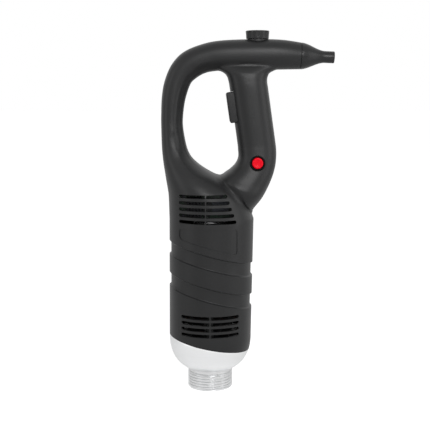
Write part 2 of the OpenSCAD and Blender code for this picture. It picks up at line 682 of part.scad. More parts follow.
// A coil spring along +Z: one unbroken six-sided wire of radius w.
module coil(r, w, length, turns) {
    pitch = (length - 2 * w) / turns;
    n = turns * 8;
    rings = [for (i = [0 : n]) let (a = 45 * i, z = w + pitch * i / 8)
        [for (j = [0 : 5]) let (b = 60 * j, rr = r + w * cos(b))
            [rr * cos(a), rr * sin(a), z + w * sin(b)]]];
    skin(rings);
}

module trigger_switch() color("#3a3a3c") in_grip() difference() {
    translate([switch_n, -8, -switch_l / 2]) cube([grip_w - wall - 5 - switch_n, 16, switch_l]);
    translate([switch_n - 1, 0, 0]) rotate([0, 90, 0])
        cylinder(h = trigger_travel + 3.5, r = plunger_r + 0.1, $fn = 32);
}

// ---------- lock button ----------

button_l = 6;       // how far the button reaches in below the housing's face
neck_l = 4.5;       // length of the bezel's neck below the housing's face
guide_floor = 5;    // height of the guide's floor
edge_h = 1.2;       // height of the button's bevelled edge
lock_coil_r = 3.2;

module lock_button() color("#e01030") at_button() translate([0, 0, button_face - button_l]) {
    cylinder(h = button_l + button_out - edge_h + 0.2, r = button_r, $fn = 64);
    translate([0, 0, button_l + button_out - edge_h + 0.2])
        cylinder(h = edge_h, r1 = button_r, r2 = button_r - 1.4, $fn = 64);
    translate([0, 0, -3]) cylinder(h = 3.4, r = lock_coil_r - 1.2, $fn = 32);
}

module lock_bezel() color("#1c1c1d") at_button() difference() {
    union() {
        translate([0, 0, button_face - 0.2]) cylinder(h = 1, r = bezel_r, $fn = 64);
        translate([0, 0, button_face - neck_l]) cylinder(h = neck_l, r = guide_r, $fn = 64);
    }
    translate([0, 0, button_face - 10]) cylinder(h = 20, r = button_d / 2, $fn = 64);
}

module lock_guide() color("#3a3a3c") at_button() difference() {
    cylinder(h = button_face - neck_l - gap, r = guide_r, $fn = 64);
    translate([0, 0, guide_floor]) cylinder(h = 30, r = button_d / 2, $fn = 64);
}

module lock_spring() color("silver") at_button() translate([0, 0, guide_floor + 0.1])
    coil(lock_coil_r, 0.45, button_face - button_l - guide_floor - 0.3, 3);

// ---------- motor ----------

seal_z = bracket_z - 8;
low_bearing_z = bracket_z - 1;
bearing_h = 10;
low_race_r = 16;
up_race_r = 15;
up_bearing_z = stack_z + stack_h + 42;
shaft_top_r = 5;
socket_r = 9;
socket_z = bore_l + 1.5;
fan_z = 66;
bolt_y = stator_r;
ring_z = stack_z + stack_h + 10;

bracket_r = skin_r(bracket_z) - cap_wall - 0.5;     // radius of the lower bracket
carrier_r = low_race_r + 4;                         // radius of the lower bearing's carrier
module lower_bracket() color("#b9bbbd") difference() {
    union() {
        translate([0, 0, bracket_z]) cylinder(h = bracket_t, r = bracket_r, $fn = 96);
        translate([0, 0, seal_z]) cylinder(h = 20, r = carrier_r, $fn = 64);
        for (s = [-1, 1]) translate([0, s * (bolt_y - 1.2), bracket_z + 1])
            cylinder(h = stack_z - bracket_z - 1, r = 3.4, $fn = 32);
    }
    translate([0, 0, seal_z - 1]) cylinder(h = 30, r = shaft_r + 0.8, $fn = 64);
    translate([0, 0, seal_z - 1]) cylinder(h = 6, r = 12, $fn = 64);
    translate([0, 0, low_bearing_z]) cylinder(h = 20, r = low_race_r + seat, $fn = 64);
    for (a = [45 : 90 : 315]) rotate([0, 0, a])
        translate([post_r, 0, bracket_z - 1]) cylinder(h = 8, r = 1.7, $fn = 24);
    for (s = [-1, 1]) translate([0, s * bolt_y, stack_z - 14]) cylinder(h = 20, r = 1.52, $fn = 24);
    for (s = [-1, 1]) translate([s * (carrier_r + bracket_r) / 2, 0, bracket_z - 1])
        cylinder(h = bracket_t + 2, r = (bracket_r - carrier_r) / 2 - 3, $fn = 32);
}

module upper_bracket() color("#b9bbbd") difference() {
    union() {
        translate([0, 0, ring_z]) cylinder(h = 4, r = stator_r, $fn = 96);
        for (s = [-1, 1]) translate([0, s * (bolt_y - 1.2), ring_z]) cylinder(h = 4, r = 4.6, $fn = 48);
        for (s = [-1, 1]) translate([0, s * (bolt_y - 1.2), stack_z + stack_h])
            cylinder(h = ring_z - stack_z - stack_h + 1, r = 3.4, $fn = 32);
        for (s = [-1, 1]) translate([-6, s * (stator_r - 10) - 5, ring_z + 1])
            cube([12, 10, up_bearing_z - ring_z + 4]);
        translate([-12, -stator_r + 5, up_bearing_z - 2]) cube([24, 2 * stator_r - 10, 6]);
        translate([0, 0, up_bearing_z - 2]) cylinder(h = 14, r = up_race_r + 4, $fn = 64);
    }
    translate([0, 0, ring_z - 1]) cylinder(h = 6, r = armature_r + 2, $fn = 64);
    translate([0, 0, up_bearing_z]) cylinder(h = 20, r = up_race_r + seat, $fn = 64);
    translate([0, 0, up_bearing_z - 5]) cylinder(h = 10, r = shaft_top_r + 2, $fn = 64);
    for (s = [-1, 1]) translate([0, s * bolt_y, stack_z + stack_h - 1]) cylinder(h = 20, r = 1.7, $fn = 24);
}

module frame_bolts() color("silver") for (s = [-1, 1]) translate([0, s * bolt_y, 0]) {
    translate([0, 0, ring_z + 4]) cylinder(h = 2.4, r = 3, $fn = 32);
    translate([0, 0, stack_z - 12]) cylinder(h = ring_z + 5 - stack_z + 12, r = 1.5, $fn = 32);
}

module air_baffle() color("#3a3a3c") translate([0, 0, stack_z - 9]) difference() {
    cylinder(h = 1.6, r = barrel_r - wall - 1.2, $fn = 96);
    translate([0, 0, -1]) cylinder(h = 4, r = armature_r + 7, $fn = 64);
    for (s = [-1, 1]) translate([0, s * (bolt_y - 1.2), -1]) cylinder(h = 4, r = 3.6, $fn = 32);
}

yoke_r = stator_r - 4.2;
neck_w = armature_r / 2;    // half width of the poles
module stator_core() color("#8c8f93") translate([0, 0, stack_z]) difference() {
    cylinder(h = stack_h, r = stator_r, $fn = 96);
    difference() {
        translate([0, 0, -1]) cylinder(h = stack_h + 2, r = yoke_r, $fn = 96);
        translate([-40, -neck_w, -2]) cube([80, 2 * neck_w, stack_h + 4]);
        difference() {
            translate([0, 0, -2]) cylinder(h = stack_h + 4, r = armature_r + 2, $fn = 96);
            translate([-13, -40, -3]) cube([26, 80, stack_h + 6]);
        }
    }
    translate([0, 0, -1]) cylinder(h = stack_h + 2, r = armature_r + 0.6, $fn = 96);
    for (s = [-1, 1]) translate([0, s * bolt_y, -1]) cylinder(h = stack_h + 2, r = 2.1, $fn = 32);
}

coil_in = armature_r - 0.4;
coil_t = 5.4;
module field_coils() color("#9a5a2c") for (s = [-1, 1]) scale([s, 1, 1])
    translate([coil_in, 0, stack_z + stack_h / 2]) rotate([0, 90, 0]) difference() {
        union() {
            translate([-stack_h / 2 - 6, -neck_w - 1.2, 0]) cube([stack_h + 12, 2 * neck_w + 2.4, coil_t]);
            translate([-stack_h / 2 - 2, -neck_w - 4.4, 0]) cube([stack_h + 4, 2 * neck_w + 8.8, coil_t]);
            for (u = [-1, 1]) for (v = [-1, 1]) translate([u * (stack_h / 2 + 2), v * (neck_w + 0.4), 0])
                cylinder(h = coil_t, r = 4, $fn = 48);
        }
        translate([-stack_h / 2 - 0.2, -neck_w - 0.2, -1])
            cube([stack_h + 0.4, 2 * neck_w + 0.4, coil_t + 2]);
    }

module rotor_shaft() color("silver") {
    translate([0, 0, socket_z + 8]) cylinder(h = low_bearing_z - socket_z - 8, r = shaft_r - 0.6, $fn = 64);
    translate([0, 0, low_bearing_z]) cylinder(h = fan_z + 16 - low_bearing_z, r = shaft_r, $fn = 64);
    translate([0, 0, fan_z + 15]) cylinder(h = up_bearing_z - fan_z - 15, r = shaft_r + 0.5, $fn = 64);
    translate([0, 0, up_bearing_z]) cylinder(h = bearing_h, r = shaft_top_r, $fn = 64);
}

module armature_core() color("#7d8085") translate([0, 0, stack_z]) difference() {
    cylinder(h = stack_h, r = armature_r, $fn = 96);
    translate([0, 0, -1]) cylinder(h = stack_h + 2, r = shaft_r + 0.5 + seat, $fn = 64);
    for (i = [0 : armature_slots - 1]) rotate([0, 0, 360 * i / armature_slots])
        translate([12, -1.6, -1]) cube([20, 3.2, stack_h + 2]);
}

module armature_winding() color("#b06a33") {
    for (i = [0 : armature_slots - 1]) rotate([0, 0, 360 * i / armature_slots])
        translate([12.4, -1.3, stack_z - 2]) cube([armature_r - 14.4, 2.6, stack_h + 4]);
    for (z = [stack_z - 7, stack_z + stack_h + 0.2]) translate([0, 0, z]) difference() {
        union() {
            cylinder(h = 1.5, r1 = armature_r - 4, r2 = armature_r - 2, $fn = 64);
            translate([0, 0, 1.5]) cylinder(h = 3.8, r = armature_r - 2, $fn = 64);
            translate([0, 0, 5.3]) cylinder(h = 1.5, r1 = armature_r - 2, r2 = armature_r - 4, $fn = 64);
        }
        translate([0, 0, -1]) cylinder(h = 9, r = shaft_r + 0.7, $fn = 64);
    }
}

commutator_z = ring_z + 6;
commutator_r = 13;
commutator_h = 16;
module commutator() color("#c98a52") translate([0, 0, commutator_z]) difference() {
    union() {
        cylinder(h = commutator_h, r = commutator_r, $fn = 96);
        cylinder(h = 2, r = commutator_r + 1.6, $fn = 96);
    }
    translate([0, 0, -1]) cylinder(h = commutator_h + 2, r = shaft_r + 0.5 + seat, $fn = 64);
    for (i = [0 : 2 * armature_slots - 1]) rotate([0, 0, 180 * i / armature_slots])
        translate([commutator_r - 1.2, -0.3, -1]) cube([5, 0.6, commutator_h + 2]);
}

module cooling_fan() color("#d8d6cf") translate([0, 0, fan_z]) difference() {
    union() {
        cylinder(h = 14, r = shaft_r + 4, $fn = 64);
        cylinder(h = 1.6, r = fan_r, $fn = 96);
        for (i = [0 : fan_blades - 1]) rotate([0, 0, 360 * i / fan_blades])
            translate([shaft_r + 2, 0, 1]) rotate([0, 0, 24]) cube([fan_r - shaft_r - 6, 1.6, 12.4]);
    }
    translate([0, 0, -1]) cylinder(h = 20, r = shaft_r + seat, $fn = 64);
}

hex_r = 5;          // across-corner radius of the six-sided socket
module drive_socket() color("#a8abae") translate([0, 0, socket_z]) difference() {
    cylinder(h = 22, r = socket_r, $fn = 64);
    translate([0, 0, -1]) cylinder(h = 9, r = hex_r, $fn = 6);
    translate([0, 0, 7.9]) cylinder(h = 20, r = shaft_r - 0.6 + seat, $fn = 64);
}

module shaft_seal() color("#26262a") translate([0, 0, seal_z + 0.2]) difference() {
    cylinder(h = 4.6, r = 12 - seat, $fn = 64);
    translate([0, 0, -1]) cylinder(h = 7, r = shaft_r - 0.6 + 0.05, $fn = 64);
}

module shaft_clip() color("silver") translate([0, 0, low_bearing_z + bearing_h + 0.2]) difference() {
    cylinder(h = 1.2, r = shaft_r + 2, $fn = 48);
    translate([0, 0, -1]) cylinder(h = 4, r = shaft_r + seat, $fn = 48);
}

// ---------- ball bearings ----------

ball_r = 2.2;
race_h = bearing_h - 0.4;
low_mid = (low_race_r + shaft_r) / 2;       // distance of the balls from the axis
up_mid = (up_race_r + shaft_top_r) / 2;
race_half_gap = 1.5;                        // half the distance between the two races

// A race between two radii, with a track that clears the balls.
module race(z, r_in, r_out, ball_at) {
    translate([0, 0, z]) difference() {
        cylinder(h = race_h, r = r_out, $fn = 64);
        translate([0, 0, -1]) cylinder(h = bearing_h + 2, r = r_in, $fn = 64);
        rotate_extrude($fn = 64) translate([ball_at, race_h / 2]) circle(r = ball_r + 0.05, $fn = 32);
    }
}

module balls(z, ball_at) {
    for (a = [0 : 45 : 315]) rotate([0, 0, a]) translate([ball_at, 0, z + race_h / 2])
        sphere(r = ball_r, $fn = 24);
}

module lower_bearing_outer_race() color("#c4c6c8")
    race(low_bearing_z, low_mid + race_half_gap, low_race_r, low_mid);
module lower_bearing_inner_race() color("#c4c6c8")
    race(low_bearing_z, shaft_r + seat, low_mid - race_half_gap, low_mid);
module lower_bearing_balls() color("#e2e4e6") balls(low_bearing_z, low_mid);
module upper_bearing_outer_race() color("#c4c6c8")
    race(up_bearing_z, up_mid + race_half_gap, up_race_r, up_mid);
module upper_bearing_inner_race() color("#c4c6c8")
    race(up_bearing_z, shaft_top_r + seat, up_mid - race_half_gap, up_mid);
module upper_bearing_balls() color("#e2e4e6") balls(up_bearing_z, up_mid);

// ---------- brushes ----------

brush_z = commutator_z + commutator_h / 2 + 1;
brush_w = 6;
brush_h = 8;
brush_gap = 0.2;            // clearance of a brush in its holder
holder_z = ring_z + 4;      // top face of the upper bracket's ring
module brush_holders() color("#2f2a26") for (a = [0, 180]) rotate([0, 0, a]) difference() {
    translate([commutator_r + 2.4, -brush_w, holder_z])
        cube([stator_r - commutator_r - 3.4, 2 * brush_w, brush_z + 7 - holder_z]);
    translate([commutator_r + 1, -brush_w / 2 - brush_gap, brush_z - brush_h / 2 - brush_gap])
        cube([stator_r - commutator_r - 4, brush_w + 2 * brush_gap, brush_h + 2 * brush_gap]);
}

module carbon_brushes() color("#202022") for (a = [0, 180]) rotate([0, 0, a])
    translate([commutator_r + 0.1, -brush_w / 2, brush_z - brush_h / 2]) cube([11, brush_w, brush_h]);

module brush_springs() color("silver") for (s = [0, 180]) rotate([0, 0, s])
    translate([commutator_r + 11.3, 0, brush_z]) rotate([0, 90, 0])
        coil(2.2, 0.35, stator_r - commutator_r - 14.5, 3);

// ---------- electronics ----------

board_z = up_bearing_z + bearing_h + 4;     // lower edge of the upright board
board_y = 3;
board_t = 1.6;
board_back = board_y + board_t;
board_left = left_x + wall + 8;
board_right = right_x - wall - 16;
board_top = barrel_top + 28;
board_h = board_top - board_z;
post_inset = 4;     // distance of the board's posts from its edges
corner_w = 12;      // width of the board's cut corner
corner_h = 14;      // height of the board's cut corner
board_posts = [[board_left + post_inset, board_z + post_inset],
    [board_right - post_inset, board_z + post_inset],
    [board_left + post_inset, board_top - post_inset],
    [board_right - corner_w - post_inset, board_top - post_inset]];

module control_board() color("#2e6b43") translate([0, board_back, 0]) rotate([90, 0, 0]) difference() {
    linear_extrude(board_t) polygon([[board_left, board_z], [board_right, board_z],
        [board_right, board_top - corner_h], [board_right - corner_w, board_top], [board_left, board_top]]);
    for (p = board_posts) translate([p[0], p[1], -1]) cylinder(h = 4, r = small_r + 0.3, $fn = 24);
}
module board_screws() color("silver") for (p = board_posts) {
    cross_bar(p, board_y - small_head_h, board_y, small_head_r, 24);
    cross_bar(p, board_y - 0.5, board_back + small_grip, small_r, 24);
}

sink_x = board_left + 2 * post_inset;       // left side of the heat sink
sink_w = 16;
block_x = sink_x + sink_w + 1.2;            // left side of the terminal block
block_w = 9;
capacitor_x = block_x + block_w + 1;        // left side of the capacitor
// Its flat back stands on the board, with the fins upright.
module heat_sink() color("#9fa3a7") translate([sink_x, board_y, board_z + 3]) rotate([90, 0, 0]) {
    cube([sink_w, board_h - 8, 2.5]);
    for (i = [0 : 4]) translate([i * (sink_w - 2) / 4, 0, 2]) cube([2, board_h - 8, 10]);
}
module suppression_capacitor() color("#c9a53a") translate([capacitor_x, board_y - 9, board_z + 8])
    cube([board_right - 2 * post_inset - capacitor_x, 9, board_h - 17]);
module terminal_block() color("#d9d9d2") translate([block_x, board_y, board_z + 5]) rotate([90, 0, 0])
    difference() {
        cube([block_w, board_h - 12, 8]);
        for (k = [1, 3, 5]) translate([block_w / 2, k * (board_h - 12) / 6, 3])
            cylinder(h = 10, r = 1.7, $fn = 24);
    }

housing_front();
housing_rear();
housing_screws();
nose_cap();
cap_screws();
threaded_collar();
collar_screws();
cord_nozzle();
cord_clamp();
cord_clamp_screws();
speed_knob();
speed_dial_shaft();
speed_control_body();
dial_nut();
trigger();
switch_plunger();
trigger_spring();
trigger_switch();
lock_button();
lock_bezel();
lock_spring();
lock_guide();
control_board();
board_screws();
heat_sink();
suppression_capacitor();
terminal_block();
lower_bracket();
upper_bracket();
frame_bolts();
air_baffle();
stator_core();
field_coils();
rotor_shaft();
armature_core();
armature_winding();
commutator();
cooling_fan();
drive_socket();
shaft_seal();
shaft_clip();
lower_bearing_outer_race();
lower_bearing_inner_race();
lower_bearing_balls();
upper_bearing_outer_race();
upper_bearing_inner_race();
upper_bearing_balls();
brush_holders();
carbon_brushes();
brush_springs();
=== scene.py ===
"""Immersion blender motor unit: the looks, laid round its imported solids.

Sizes inside the shape functions are in millimetres, and every mesh is written in metres. The origin is the centre of
the collar's lower face, +Z runs up the motor shaft, +X points towards the cord nozzle and -Y is the lock button's side.
"""

import math

import bmesh
import bpy
import numpy as np
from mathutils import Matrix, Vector


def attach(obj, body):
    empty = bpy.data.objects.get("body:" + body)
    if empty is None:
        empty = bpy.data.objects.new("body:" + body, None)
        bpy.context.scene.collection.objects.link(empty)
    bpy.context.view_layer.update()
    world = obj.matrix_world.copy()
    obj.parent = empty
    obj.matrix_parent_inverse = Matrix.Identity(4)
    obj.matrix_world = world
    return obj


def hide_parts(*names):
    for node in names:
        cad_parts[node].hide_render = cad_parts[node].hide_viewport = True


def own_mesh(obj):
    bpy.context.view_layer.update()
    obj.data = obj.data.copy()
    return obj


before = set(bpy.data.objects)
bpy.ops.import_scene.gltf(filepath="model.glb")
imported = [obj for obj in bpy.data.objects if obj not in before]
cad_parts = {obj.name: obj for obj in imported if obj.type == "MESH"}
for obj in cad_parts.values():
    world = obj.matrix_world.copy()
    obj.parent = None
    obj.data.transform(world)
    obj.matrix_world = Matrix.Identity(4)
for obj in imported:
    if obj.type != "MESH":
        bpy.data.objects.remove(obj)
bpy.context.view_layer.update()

bl_info = {
    "name": "Immersion blender motor unit",
    "version": (1, 0, 0),
    "blender": (4, 5, 0),
    "location": "View3D > Sidebar > Motor unit",
    "description": "Builds the visible pieces, finishes and studio of an immersion blender's motor unit",
    "category": "Add Mesh",
}

MM = 0.001

# Heights between which the barrel is a slight cone, and what its radius and its centre's X gain over them.
CONE_START, CONE_END = 61, 190
CONE_GROWTH, CONE_SHIFT = 0.9, 1.5
# The slanted joint of housing and nose cap: its height on the axis and its slant.
JOINT_Z, JOINT_SLANT = 52.3, math.radians(11)
# The two grip bands round the barrel: their heights on the axis and their slant.
BAND_HEIGHTS, BAND_SLANT = (146.9, 111.8), math.radians(15)
# Air slots: height of each, and for the upper and lower rows the lowest row's height, the pitch and the middle rib.
SLOT_HEIGHT = 3.8
UPPER_ROWS, UPPER_Z, UPPER_PITCH, UPPER_RIB = 5, 190.8, 6.8, (-5.2, -4.0)
LOWER_ROWS, LOWER_Z, LOWER_PITCH, LOWER_RIB = 4, 67.9, 6.5, (-0.6, 0.6)
# Middle of the grip at the trigger, and how far the grip leans.
TRIGGER_PLACE, GRIP_TILT = (24.1, 0, 311), math.radians(8.2)
# Origin, way out and way across of the knob's axis, the lock button and the cord nozzle, as placed() takes them.
NOZZLE_TILT = math.radians(2.5)
KNOB_FRAME = ((50.8, 0, 0), (0, 0, 1), (1, 0, 0))
KNOB_FOOT = 383.7
BUTTON_FRAME = ((50.8, 0, 252), (0, -1, 0), (1, 0, 0))
NOZZLE_FRAME = ((97, 0, 365.7), (math.cos(NOZZLE_TILT), 0, -math.sin(NOZZLE_TILT)), (0, 1, 0))
# Places (x, z) of the twelve housing screws.
SCREW_PLACES = [(-41, 298), (-31, 347), (2, 366), (70, 366), (37.099, 337), (41.576, 275), (55.7, 227),
                (-35.2, 228), (-37.2, 76), (37.2, 76), (-35.7, 174), (38.7, 174)]


# ---------- settings ----------


def length_setting(name, description, default, low, high):
    """A setting that is a length in metres."""
    return bpy.props.FloatProperty(
        name=name, description=description, default=default, min=low, max=high, unit="LENGTH")


def colour_setting(name, description, *default):
    """A setting that is a colour."""
    return bpy.props.FloatVectorProperty(
        name=name, description=description, default=default, size=3, min=0.0, max=1.0, subtype="COLOR")


def power_setting(name, description, default):
    """A setting that is a lamp's power in watts."""
    return bpy.props.FloatProperty(
        name=name, description=description, default=default, min=0.0, max=60.0, unit="POWER")


class HousingSettings(bpy.types.PropertyGroup):
    """Sizes and colour of the two-part D-handle housing."""

    barrel_diameter: length_setting(
        "Barrel diameter", "Diameter of the housing where it meets the nose cap", 0.0906, 0.086, 0.1)
    wall: length_setting("Wall", "Thickness of the moulded wall", 0.0035, 0.0032, 0.0038)
    ridge: bpy.props.FloatProperty(
        name="Inner bevel", description="Strength of the bevel along the finger window's side of the bow",
        default=0.34, min=0.0, max=0.45, subtype="FACTOR")
    band_depth: length_setting("Band depth", "Depth of the two slanted grip bands", 0.0019, 0.0008, 0.0022)
    label_depth: length_setting(
        "Recess depth", "Depth of the bare recess under the upper air slots", 0.0005, 0.0002, 0.0008)
    edge: length_setting("Edge radius", "Radius of the moulded edges", 0.0004, 0.0, 0.0006)
    colour: colour_setting("Plastic", "Colour of the black moulded plastic", 0.0118, 0.0120, 0.0124)


class ControlSettings(bpy.types.PropertyGroup):
    """Sizes and colours of the speed knob and the lock button."""

    knob_diameter: length_setting("Knob diameter", "Diameter of the speed knob", 0.0254, 0.02, 0.028)
    flutes: bpy.props.IntProperty(
        name="Flutes", description="Number of finger flutes round the speed knob", default=8, min=6, max=16)
    button_diameter: length_setting(
        "Button bore", "Diameter of the bore that guides the lock button", 0.0134, 0.01, 0.015)
    button_colour: colour_setting("Button", "Colour of the lock button", 0.74, 0.001, 0.012)


class MetalSettings(bpy.types.PropertyGroup):
    """Sizes and colour of the nose cap and the threaded collar."""

    thread_pitch: length_setting("Thread pitch", "Pitch of the collar's outside thread", 0.003, 0.002, 0.004)
    thread_depth: length_setting("Thread depth", "Depth of the collar's outside thread", 0.0014, 0.0005, 0.0018)
    colour: colour_setting("Aluminium", "Colour of the turned aluminium", 0.86, 0.865, 0.87)


class StageSettings(bpy.types.PropertyGroup):
    """The floor, the light and the camera."""

    floor_colour: colour_setting("Floor", "Colour of the plain floor", 0.86, 0.86, 0.86)
    key_power: power_setting("Key light", "Power of the lamp above the camera", 8.5)
    side_power: power_setting("Side light", "Power of the lamp on the nozzle's side", 2.4)
    far_power: power_setting("Far side light", "Power of the lamp on the bow's side", 1.5)
    world_strength: bpy.props.FloatProperty(
        name="Surroundings", description="Strength of the even light from all sides", default=0.35, min=0.0, max=1.5)
    lens: bpy.props.FloatProperty(
        name="Lens", description="Focal length of the camera", default=0.07686, min=0.03, max=0.2, unit="CAMERA")


# ---------- curves and grids ----------


def skin_radius(z, radius):
    """Radius of the housing and cap at height z: a squared-off ellipse below the cone's start, and the cone above."""
    z = np.asarray(z, float)
    low = radius * (1 - np.clip((CONE_START - z) / 43, 0, 1) ** 2.5) ** 0.4
    return np.where(z < CONE_START, low, radius + CONE_GROWTH * (z - CONE_START) / (CONE_END - CONE_START))


def lean(z):
    """Sideways shift of the barrel's centre at height z, which grows evenly over the cone."""
    return np.clip(CONE_SHIFT * (np.asarray(z, float) - CONE_START) / (CONE_END - CONE_START), 0, None)


def through(rows, steps):
    """A Catmull-Rom curve through the rows, with the given number of steps between each two.

    Each point is half of 2b + (c - a)t + (2a - 5b + 4c - d)t^2 + (3b - a - 3c + d)t^3.
    """
    rows = np.asarray(rows, float)
    i = np.arange(len(rows) - 1)
    a, b, c, d = (rows[k][:, None, :] for k in (np.maximum(i - 1, 0), i, i + 1, np.minimum(i + 2, len(rows) - 1)))
    t = (np.arange(steps) / steps)[None, :, None]
    curve = 0.5 * (2 * b + (c - a) * t + (2 * a - 5 * b + 4 * c - d) * t**2 + (3 * b - a - 3 * c + d) * t**3)
    return np.concatenate([curve.reshape(-1, rows.shape[1]), rows[-1:]])


def barrel_stations(heights, radius):
    """Round stations of the barrel at the given heights.

    A station is [left x, left z, right x, right z, half depth, squareness, inner bevel].
    """
    r, middle, one = skin_radius(heights, radius), lean(heights), np.ones(len(heights))
    return np.stack([middle - r, heights, middle + r, heights, r, 2 * one, 0 * one], axis=1)


def bow_stations(radius, ridge):
    """Stations of the shoulder, the bow and the top bar, from the barrel's upper edge round to the nozzle's seam."""
    left, right = CONE_SHIFT - radius - CONE_GROWTH, CONE_SHIFT + radius + CONE_GROWTH
    bow = -radius - 7.7
    inner = bow + 23.8
    seam = 14.2
    up, out = seam * math.cos(NOZZLE_TILT), seam * math.sin(NOZZLE_TILT)
    return [
        [left, CONE_END, right, CONE_END, radius + CONE_GROWTH, 2, 0],
        [left - 0.7, 214, right - 9.7, 215, 45, 2.05, 0],
        [left - 1.9, 224, right - 23.7, 227, 42, 2.1, 0],
        [left - 3.3, 232.5, right - 39, 236.8, 37, 2.2, 0.05 * ridge],
        [left - 4.6, 241, right - 51.7, 244, 31.5, 2.3, 0.25 * ridge],
        [left - 5.9, 249.6, right - 62.2, 251.6, 26, 2.4, 0.5 * ridge],
        [bow + 1.3, 259, inner + 7.7, 259.4, 21.5, 2.5, 0.75 * ridge],
        [bow + 0.5, 270, inner + 3.4, 270, 18.5, 2.5, 0.9 * ridge],
        [bow, 290, inner, 289, 16.5, 2.5, ridge],
        [bow, 303, inner, 302, 16, 2.5, ridge],
        [bow + 1, 323, inner + 2.4, 319, 16, 2.5, ridge],
        [bow + 4.3, 340, inner + 7.7, 335, 16, 2.4, ridge],
        [bow + 12, 357, inner + 13.2, 341.3, 16.3, 2.4, 0.9 * ridge],
        [bow + 24.7, 369.9, inner + 22.2, 346.8, 16.8, 2.3, 0.8 * ridge],
        [bow + 45, 378.3, inner + 32.2, 349.3, 17.3, 2.3, 0.7 * ridge],
        [bow + 66.8, 382.2, inner + 46.2, 350.2, 18, 2.3, 0.6 * ridge],
        [50.8, 383.4, 50.8, 350.6, 18, 2.3, 0.45 * ridge],
        [77, 382.8, 77, 351.2, 16.8, 2.2, 0.25 * ridge],
        [97 + out, 365.7 + up, 97 - out, 365.7 - up, seam, 2, 0],
    ]


def grip_stations(radius):
    """Stations of the grip, from its swollen foot on the shoulder up into the bar."""
    right = CONE_SHIFT + radius + CONE_GROWTH
    width = 41.4

    def straight(z, more_left, more_right, depth):
        edge = TRIGGER_PLACE[0] + (TRIGGER_PLACE[2] - z) * math.tan(GRIP_TILT)
        return [edge - more_left, z, edge + width + more_right, z, depth, 2.5, 0]

    return [
        [right - 33.7, 222, right - 2.7, 192, 18, 2, 0],
        [right - 34.7, 228, right - 1.1, 197.5, 25, 2.1, 0],
        [right - 36.6, 232.5, right - 0.1, 201, 29.5, 2.35, 0],
        [right - 38.4, 234, right + 8.8, 212.5, 32, 2.5, 0],
        [right - 33.7, 239, right + 15.3, 224.5, 29, 2.5, 0],
        [right - 26.2, 244.3, right + 20.3, 236.5, 26, 2.5, 0],
        [right - 20.2, 250.4, right + 23.2, 247.5, 23.5, 2.5, 0],
        straight(257.5, 1.3, -1.3, 22),
        straight(266, 0.3, -0.2, 21.1),
        straight(275, 0, 0, 20.6),
        straight(311, 0, 0, 20),
        straight(331, 0, 0, 19.8),
        straight(338.5, 0.2, 0, 19.4),
        straight(344.4, 1.4, 1.6, 18.8),
        straight(348.7, 5.5, 5.9, 17.4),
        straight(356, 18, 24, 13),
    ]


def drawn_in(stations, depth):
    """The stations with both edges and the half depth drawn in by depth."""
    s = np.array(stations, float)
    across = s[:, 2:4] - s[:, 0:2]
    across /= np.linalg.norm(across, axis=1)[:, None]
    s[:, 0:2] += depth * across
    s[:, 2:4] -= depth * across
    s[:, 4] -= depth
    return s


def oval_rings(stations, count):
    """One ring of points for each station.

    A ring is a squared-off ellipse: each of cos and sin of the angle is raised to 2 / squareness, with its sign kept.
    On the right-hand half its depth shrinks evenly from 0.28 to 0.78 of the half width, which makes the inner bevel.
    """
    s = np.asarray(stations, float)
    angle = 2 * math.pi * np.arange(count) / count
    power = 2 / s[:, 5:6]
    across = np.sign(np.cos(angle)) * np.abs(np.cos(angle)) ** power
    deep = np.sign(np.sin(angle)) * np.abs(np.sin(angle)) ** power
    deep = deep * (1 - s[:, 6:7] * np.clip((-across - 0.28) / 0.5, 0, 1))
    middle, arm = (s[:, 0:2] + s[:, 2:4]) / 2, (s[:, 0:2] - s[:, 2:4]) / 2
    return np.stack(
        [middle[:, 0:1] + across * arm[:, 0:1], deep * s[:, 4:5], middle[:, 1:2] + across * arm[:, 1:2]], axis=-1)


def grid_faces(rows, columns, loop=False):
    """Quads of a grid whose columns close on themselves, and whose rows do too if loop is true."""
    i = np.arange(rows if loop else rows - 1)[:, None]
    j = np.arange(columns)[None, :]
    step, turn = (i + 1) % rows, (j + 1) % columns
    return np.stack([i * columns + j, i * columns + turn, step * columns + turn, step * columns + j],
                    axis=-1).reshape(-1, 4).tolist()


def new_piece(name, points, faces):
    """A mesh object from points in millimetres, with its faces turned outwards."""
    mesh = bpy.data.meshes.new(name)
    mesh.from_pydata((np.asarray(points, float).reshape(-1, 3) * MM).tolist(), [], faces)
    bm = bmesh.new()
    bm.from_mesh(mesh)
    bmesh.ops.remove_doubles(bm, verts=bm.verts, dist=1e-7)
    bmesh.ops.recalc_face_normals(bm, faces=bm.faces)
    bm.to_mesh(mesh)
    bm.free()
    piece = bpy.data.objects.new(name, mesh)
    bpy.context.scene.collection.objects.link(piece)
    return piece


def capped_piece(name, grid):
    """A closed piece from rings of points, with a flat face over the first and the last ring."""
    rows, columns = grid.shape[:2]
    ends = [list(range(columns)), list(range((rows - 1) * columns, rows * columns))]
    return new_piece(name, grid, grid_faces(rows, columns) + ends)


def looped_piece(name, grid):
    """A closed piece whose rows run round and meet again, such as a ring."""
    return new_piece(name, grid, grid_faces(*grid.shape[:2], loop=True))


def turned(profile, count=192):
    """The rings of a profile of [radius, height] rows turned about Z."""
    p = np.asarray(profile, float)
    angle = 2 * math.pi * np.arange(count) / count
    return np.stack([p[:, 0:1] * np.cos(angle), p[:, 0:1] * np.sin(angle), p[:, 1:2] + 0 * angle], axis=-1)


